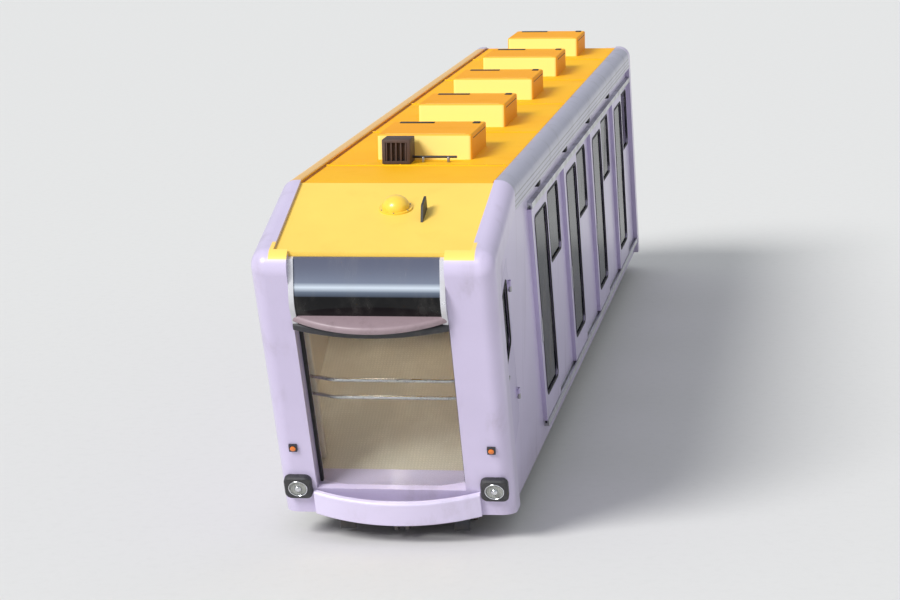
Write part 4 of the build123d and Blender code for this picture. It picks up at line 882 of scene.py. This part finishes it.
# %% Finned box
fin_paint = moulded("cooler_brown", rgb(70, 52, 48), rgb(104, 84, 74), 0.55, 90, 0.3)
cool_low, cool_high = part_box("roof_grille_box")
COOL_W = 0.270
FIN_PITCH = 0.046
cool_size = Vector((cool_high.x - cool_low.x, COOL_W, cool_high.z - cool_low.z - 0.012))
cooler = bar("cooler", fin_paint, cool_size, 0.010)
pick(cooler, "FACE", lambda middle: abs(middle.x) > cool_size.x * 0.499)
bpy.ops.mesh.inset(thickness=0.022, use_individual=True)
bpy.ops.mesh.extrude_region_shrink_fatten(TRANSFORM_OT_shrink_fatten={"value": -0.050})
fins = [settle(bar("fin", fin_paint, (cool_size.x - 0.012, 0.014, cool_size.z - 0.042), 0.003), (0, k * FIN_PITCH, 0))
        for k in range(-2, 3)]
cooler = gather([settle(cooler)] + fins)
settle(cooler, ((cool_low.x + cool_high.x) / 2, cool_high.y - COOL_W / 2, (cool_low.z + cool_high.z) / 2 - 0.006))
mount(cooler, HULL, "bezel", "roof_grille_box")

# %% [markdown]
# ## Crescent over the windscreen
# Below the visor's black band a mauve moulding bows out like an eyebrow, with a straight back. An arc is
# spun about a plumb axis from a rounded section, and bisects cut its back and its ends straight.

# %% Crescent
ARC_R = 1.367
BOW = 0.180
EYEBROW_H = 0.075
BROW_DEPTH = 0.340
BROW_HALF_W = 0.676
HALF_SPAN = math.radians(36)
brow = begin("plane", "visor_crescent", lip_plastic, size=1)
pick(brow, "VERT")
bpy.ops.transform.resize(value=(BROW_DEPTH, EYEBROW_H, 1))
pick(brow, "VERT", lambda corner: corner.x > 0)
bpy.ops.mesh.bevel(offset=0.028, segments=5, affect="VERTICES")
settle(brow, (ARC_R - BROW_DEPTH / 2, 0, 0), FLAT_TO_SIDE)
settle(brow, (0, 0, 0), (0, 0, -HALF_SPAN))
pick(brow, "FACE")
bpy.ops.mesh.spin(steps=40, angle=-2 * HALF_SPAN, center=(0, 0, 0), axis=(0, 0, 1))
cuts = [((ARC_R - BOW - 0.060, 0, 0), (-1, 0, 0))]
cuts += [((0, side * BROW_HALF_W, 0), (0, side, 0)) for side in (1, -1)]
for point, direction in cuts:
    bpy.ops.mesh.select_all(action="SELECT")
    bpy.ops.mesh.bisect(plane_co=point, plane_no=direction, use_fill=True, clear_outer=True)
face_outward(brow)
settle(brow, spot(FACE + 0.040 + BOW - ARC_R, VISOR_FOOT + 0.055, -0.050), PLUMB)
mount(brow, HULL, "bezel")

# %% [markdown]
# ## Beacon
# The beacon is a moulded dome on a flanged foot with six screws. A sphere is cut in half by a bisect and
# its rim is extruded down and out into the foot. It takes the place of the plainer solid.

# %% Beacon dome
FORE_TURN = (0, SLOPE - math.atan(FORE_FALL), 0)
DOME_R = 0.122
SCREW_R = 0.136
FOOT_R = 0.150
dome_low, dome_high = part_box("beacon_dome")
dome_x = (dome_low.x + dome_high.x) / 2
dome_y = (dome_low.y + dome_high.y) / 2
dome = half_ball("beacon_dome_moulding", dome_plastic, DOME_R, 40, 20, closed=False)
pick(dome, "VERT", lambda point: point.z < 0.001)
bpy.ops.mesh.extrude_region_move(TRANSFORM_OT_translate={"value": (0, 0, -0.014)})
bpy.ops.mesh.extrude_region_move()
bpy.ops.transform.resize(value=(1.21, 1.21, 1), center_override=(0, 0, 0))
bpy.ops.mesh.extrude_region_move(TRANSFORM_OT_translate={"value": (0, 0, -0.020)})
bpy.ops.mesh.edge_face_add()
face_outward(dome)
dome.scale = (1, 1, 0.80)
foot = disc("beacon_foot_screws", zinc, 0.007, 0.004, 0.001, 12)
settle(foot, (SCREW_R, 0, -0.011))
screws = gather([foot] + [settle(twin_of(foot), (0, 0, 0), (0, 0, k * math.pi / 3)) for k in range(1, 6)])
dome_foot_z = dome_low.z + FOOT_R * math.sin(FORE_TURN[1]) + 0.0300
dome_place = (dome_x - 0.020, dome_y, dome_foot_z)
settle(dome, dome_place, FORE_TURN)
mount(settle(screws, dome_place, FORE_TURN), HULL, "steel")
mount(dome, HULL, "roof_paint", "beacon_dome")
print("dome's foot:", [round(c, 3) for c in dome_place])

# %% [markdown]
# ## Cabin
# Through the windscreen one sees the lit floor, the pale inner walls, three posts and the ceiling with its
# light strips. Posts, strips and their trays are bevelled bars. The strips glow a little, as the covers of
# real ones do by day, which also keeps the cabin from looking like a black box.

# %% Posts and light strips
post_plastic = moulded("wall_lining", rgb(214, 202, 180), rgb(190, 176, 152), 0.5, 160, 0.1)
glow = Finish("light_cover", Roughness=0.4, Emission_Strength=14.0)
cover_grain = glow.noise(30, (1, 8, 1), 0, 3)
light_cover = glow.done(glow.blend(cover_grain, rgb(250, 248, 240), rgb(236, 232, 220)),
                        Emission_Color=glow.blend(cover_grain, rgb(255, 250, 238), rgb(246, 238, 220)))
CEILING = ROOF - 0.070
FORE_TOP = 3.245
KINK_X = x_at(-1.477, ROOF)
STRIP_PITCH = 2.850
posts = []
for h, y in ((-0.350, -0.745), (-1.050, -0.925), (-1.340, 0.925)):
    height = FORE_TOP - (FACE - h) * FORE_FALL - 0.095 - FLOOR
    post = bar("cabin_posts", post_plastic, (0.075, 0.050, height), 0.012)
    posts.append(settle(post, spot(h, FLOOR + height / 2, y), PLUMB))
mount(gather(posts), HULL, "lilac_paint")
strips = []
trays = []
for k in range(MODULES):
    strip_x = KINK_X - 0.900 - STRIP_PITCH * k
    for y in (-0.45, 0.45):
        strip = bar("light_strips", light_cover, (1.500, 0.110, 0.030), 0.010)
        strips.append(settle(strip, (strip_x, y, CEILING - 0.016)))
        tray = bar("light_trays", aluminium, (1.560, 0.150, 0.014), 0.004)
        trays.append(settle(tray, (strip_x, y, CEILING - 0.0075)))
mount(gather(strips), HULL, "lens")
mount(gather(trays), HULL, "stainless")

# %% Windscreen rubbers
LEFT_JAMB = -0.730
RIGHT_JAMB = 0.630
JAMB_INSET = 0.016
jambs = []
for y in (LEFT_JAMB + JAMB_INSET, RIGHT_JAMB - JAMB_INSET):
    jamb = bar("screen_rubbers", black_rubber, (0.046, 0.030, 1.860), 0.008)
    pick(jamb, "FACE", lambda middle: middle.x > 0.022)
    bpy.ops.mesh.inset(thickness=0.005)
    bpy.ops.transform.translate(value=(-0.004, 0, 0))
    jambs.append(settle(jamb, spot(FACE - 0.172, FLOOR + 0.932, y), PLUMB))
mount(gather(jambs), HULL, "bezel")
print("cabin pieces:", len(posts) + len(strips) + len(trays))

# %% Nosings on the floor edges
nosings = []
for h, v in FLOORS[:-1]:
    nosing = bar("floor_nosings", aluminium, (0.055, 1.880, 0.005), 0.0015)
    nosings.append(settle(nosing, spot(h - MODULE + 0.030, v + 0.0028, 0), PLUMB))
mount(gather(nosings), HULL, "stainless")

# %% Wiper of the lower windscreen
SCREEN_H = LOW_END + 0.120 - 0.060 - 0.014
sill_v = FLOORS[-1][1] + 0.420
ARM_L = 0.430
blade = bar("wiper", black_rubber, (0.012, 0.014, 0.520), 0.003)
settle(blade, spot(SCREEN_H - 0.008, sill_v + 0.420, 0.100), PLUMB)
ARM_LEAN = math.radians(-14)
root_v = sill_v + 0.030
arm = bar("wiper_arm", bezel_plastic, (0.010, 0.016, ARM_L), 0.003)
settle(arm, (0, 0, ARM_L / 2))
settle(arm, (0, 0, 0), (ARM_LEAN, 0, 0))
settle(arm, spot(SCREEN_H - 0.020, root_v, 0), PLUMB)
boss = disc("wiper_boss", bezel_plastic, 0.024, 0.040)
settle(boss, spot(SCREEN_H + 0.010, root_v, 0), (0, SLOPE - math.pi / 2, 0))
mount(gather([blade, arm, boss]), HULL, "bezel")
print("wiper on the lower screen")

# %% [markdown]
# ## Lamps
# Each headlamp has a chrome ring, a bright core behind the lens and ribs across its front, and a small
# amber marker above it. The ring is a round section spun about the lamp's axis, the core a half sphere.
# Each is shaped facing up, then turned to face up the hill or, for the lower end, down it.

# %% Lamp rings, cores, ribs and markers
chrome = steel("lamp_chrome", rgb(226, 228, 232), rgb(190, 188, 184), 0.0, 1.0, 0.12, 120, 0.04)
LAMP_Y = HALF_W - PILLAR_W / 2
MARKER_RISE = 0.450
RIB_PITCH = 0.020
RIB_R = 0.076


def lamp_ring(name, radius, thick, out, finish):
    """Ring of round section spun about the z axis."""
    ring = wire_section(name, finish, radius, thick)
    pick(ring, "VERT")
    bpy.ops.mesh.spin(steps=40, angle=2 * math.pi, center=(0, 0, 0), axis=(0, 0, 1))
    bpy.ops.mesh.select_all(action="SELECT")
    bpy.ops.mesh.remove_doubles(threshold=0.0002)
    face_outward(ring)
    return settle(ring, (0, 0, out))


LAMP_RISE = 0.330
LOW_LAMP_RISE = 0.900
lamp_v = (SKIRT + FACE * SIN) / COS + LAMP_RISE
low_lamp_v = (SKIRT + LOW_END * SIN) / COS + LOW_LAMP_RISE
rings, ribs, bulbs, markers = [], [], [], []
for face_h, out, v in ((FACE, 1, lamp_v), (LOW_END, -1, low_lamp_v)):
    turn = (0, SLOPE + out * math.pi / 2, 0)
    for side in (-1, 1):
        base = spot(face_h, v, side * LAMP_Y)
        marker_base = spot(face_h, v + MARKER_RISE, side * LAMP_Y)
        rings.append(settle(lamp_ring("lamp_rings", 0.084, 0.005, 0.059, chrome), base, turn))
        bulb = half_ball("lamp_cores", chrome, 0.034, 20, 10)
        settle(bulb, (0, 0, 0.0503))
        bulbs.append(settle(bulb, base, turn))
        for k in range(-3, 4):
            half = math.sqrt(RIB_R ** 2 - (RIB_PITCH * k) ** 2)
            rib = bar("lamp_ribs", lens_glass, (2 * half, 0.005, 0.004), 0.0015)
            ribs.append(settle(settle(rib, (0, RIB_PITCH * k, 0.0520)), base, turn))
        pip = disc("marker_lenses", amber_plastic, 0.026, 0.006, 0.003, 24)
        markers.append(settle(settle(pip, (0, 0, 0.0242)), marker_base, turn))
mount(gather(rings), HULL, "bezel")
mount(gather(bulbs), HULL, "lens")
mount(gather(ribs), HULL, "lens")
mount(gather(markers), HULL, "lens")
print("lamp pieces:", len(rings) + len(bulbs) + len(ribs) + len(markers))

# %% [markdown]
# ## Roof edge
# Under the rounded edge, at each module, a black rubber block keeps rain from running back along the
# wall. It is a bevelled bar, copied along the rails and mirrored to the other side.

# %% Drip blocks
drip = settle(bar("drip_blocks", black_rubber, (0.150, 0.044, 0.056), 0.006),
              (HOOD_FRONT - 0.500, 1.0275, ROOF - 0.292))
mount(mirrored(gather(copy_to(drip, down_roof[:-1]))), HULL, "bezel")

# %% Pipe from the finned box
roof_pipe_x = HOOD_FRONT + 0.180
pipe = disc("roof_pipe", bezel_plastic, 0.012, 0.420, 0.002, 16)
settle(pipe, (roof_pipe_x, -0.080, ROOF + 0.050), UP_TO_DOOR_SIDE)
saddles = [settle(bar("roof_pipe_saddles", zinc, (0.050, 0.024, 0.052), 0.004), (roof_pipe_x, y, ROOF + 0.0262))
           for y in (0.020, 0.260)]
mount(pipe, HULL, "bezel")
mount(gather(saddles), HULL, "steel")

# %% [markdown]
# ## Running gear
# The solids stand in plain drums for the coil springs. A circle swept by a Screw modifier makes the real
# coil, with its ends on two seats, and takes their place. Axle boxes get their covers with six screws,
# and each wheel a ring of bolts round its hub, which turns with it.

# %% Coil springs
SPRING_R = 0.078
WIRE_R = 0.0135
TURNS = 4
SEAT_R = 0.0945
SEAT_T = 0.012
spring_low, spring_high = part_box("bogie_springs_upper")
coil_h = spring_high.z - spring_low.z - 2 * SEAT_T - 2 * WIRE_R
coil = wire_section("coil", spring_steel, SPRING_R, WIRE_R)
harden(coil, "SCREW", axis="Z", steps=28, render_steps=28, iterations=TURNS, screw_offset=coil_h / TURNS)
pick(coil, "FACE")
bpy.ops.mesh.select_mode(type="EDGE")
bpy.ops.mesh.select_all(action="DESELECT")
bpy.ops.mesh.select_non_manifold()
bpy.ops.mesh.edge_face_add()
face_outward(coil)
settle(coil, (0, 0, SEAT_T + WIRE_R))
seat_z = coil_h + 2 * WIRE_R + SEAT_T - 0.0025
seats = [settle(disc("seat", bogie_steel, SEAT_R, SEAT_T, 0.002, 36), (0, 0, z)) for z in (0, seat_z)]
spring = gather([coil] + seats)
for end in ("upper", "lower"):
    low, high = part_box(f"bogie_springs_{end}")
    middle = Vector(((low.x + high.x) / 2, 0, low.z))
    side_y = high.y - SEAT_R - 0.0004
    one = twin_of(spring)
    one.name = f"coil_springs_{end}"
    settle(one, middle + Vector((0, -side_y, 0)))
    both = gather(copy_to(one, [Vector((0, 2 * side_y, 0))]))
    mount(both, body_of(nodes[f"bogie_frame_{end}"])[0], "steel", f"bogie_springs_{end}")
only(spring)
bpy.ops.object.delete()

# %% Axle-box covers and wheel bolts
def bolt_circle(name, centre, radius, count, out, head_r, head_h):
    """Ring of six-sided bolt heads round a cross axis, facing to the side out."""
    bolts = []
    for k in range(count):
        angle = 2 * math.pi * k / count
        head = disc(name, zinc, head_r, head_h, head_r * 0.2, 6)
        offset = Vector((math.cos(angle) * radius, 0, math.sin(angle) * radius))
        bolts.append(settle(head, centre + offset, (-out * math.pi / 2, 0, 0)))
    return gather(bolts)


for end in ("upper", "lower"):
    frame_body = body_of(nodes[f"bogie_frame_{end}"])[0]
    covers, screws = [], []
    for tag in "ab":
        low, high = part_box(f"wheelset_{end}_{tag}")
        axle_x = (low.x + high.x) / 2
        wheel_body = body_of(nodes[f"wheelset_{end}_{tag}"])[0]
        rings = []
        for side in (-1, 1):
            cover = disc("axle_covers_" + end, bogie_steel, 0.092, 0.014, 0.004, 36)
            covers.append(settle(cover, (axle_x, side * 0.8003, AXLE_Z), (-side * math.pi / 2, 0, 0)))
            centre = Vector((axle_x, side * 0.8165, AXLE_Z))
            screws.append(bolt_circle("axle_screws_" + end, centre, 0.070, 6, side, 0.009, 0.006))
            centre = Vector((axle_x, side * (RAIL_Y + 0.013), AXLE_Z))
            rings.append(bolt_circle(f"wheel_bolts_{end}_{tag}", centre, 0.165, 8, side, 0.014, 0.012))
        mount(gather(rings), wheel_body, "bare_steel")
    mount(gather(covers), frame_body, "steel")
    mount(gather(screws), frame_body, "steel")
print("running gear dressed")

# %% [markdown]
# ## Under the floor
# A brake pipe runs along each chassis beam in clips. It keeps to the stretch between the bogies, clear of
# what swivels with them.

# %% Brake pipes and clips
CLEAR = 0.350
CLIP_INSET = 0.200
pipe_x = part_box("bogie_frame_lower")[1].x + CLEAR
PIPE_Y = 0.835
pipe_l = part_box("bogie_frame_upper")[0].x - CLEAR - pipe_x
brake_pipe = disc("brake_pipes", zinc, 0.009, pipe_l, 0.001, 12)
pipe_z = SKIRT + FLANGE + 0.065
settle(brake_pipe, (pipe_x, PIPE_Y, pipe_z), (0, math.pi / 2, 0))
mount(mirrored(brake_pipe), HULL, "steel")
clamp = settle(bar("pipe_clips", black_rubber, (0.030, 0.026, 0.034), 0.003),
               (pipe_x + CLIP_INSET, PIPE_Y + 0.0015, pipe_z))
clip_pitch = (pipe_l - 2 * CLIP_INSET) / 5
mount(mirrored(gather(copy_to(clamp, [Vector((clip_pitch * k, 0, 0)) for k in range(1, 6)]))), HULL, "bezel")
print("brake pipe:", round(pipe_l, 2), "m")
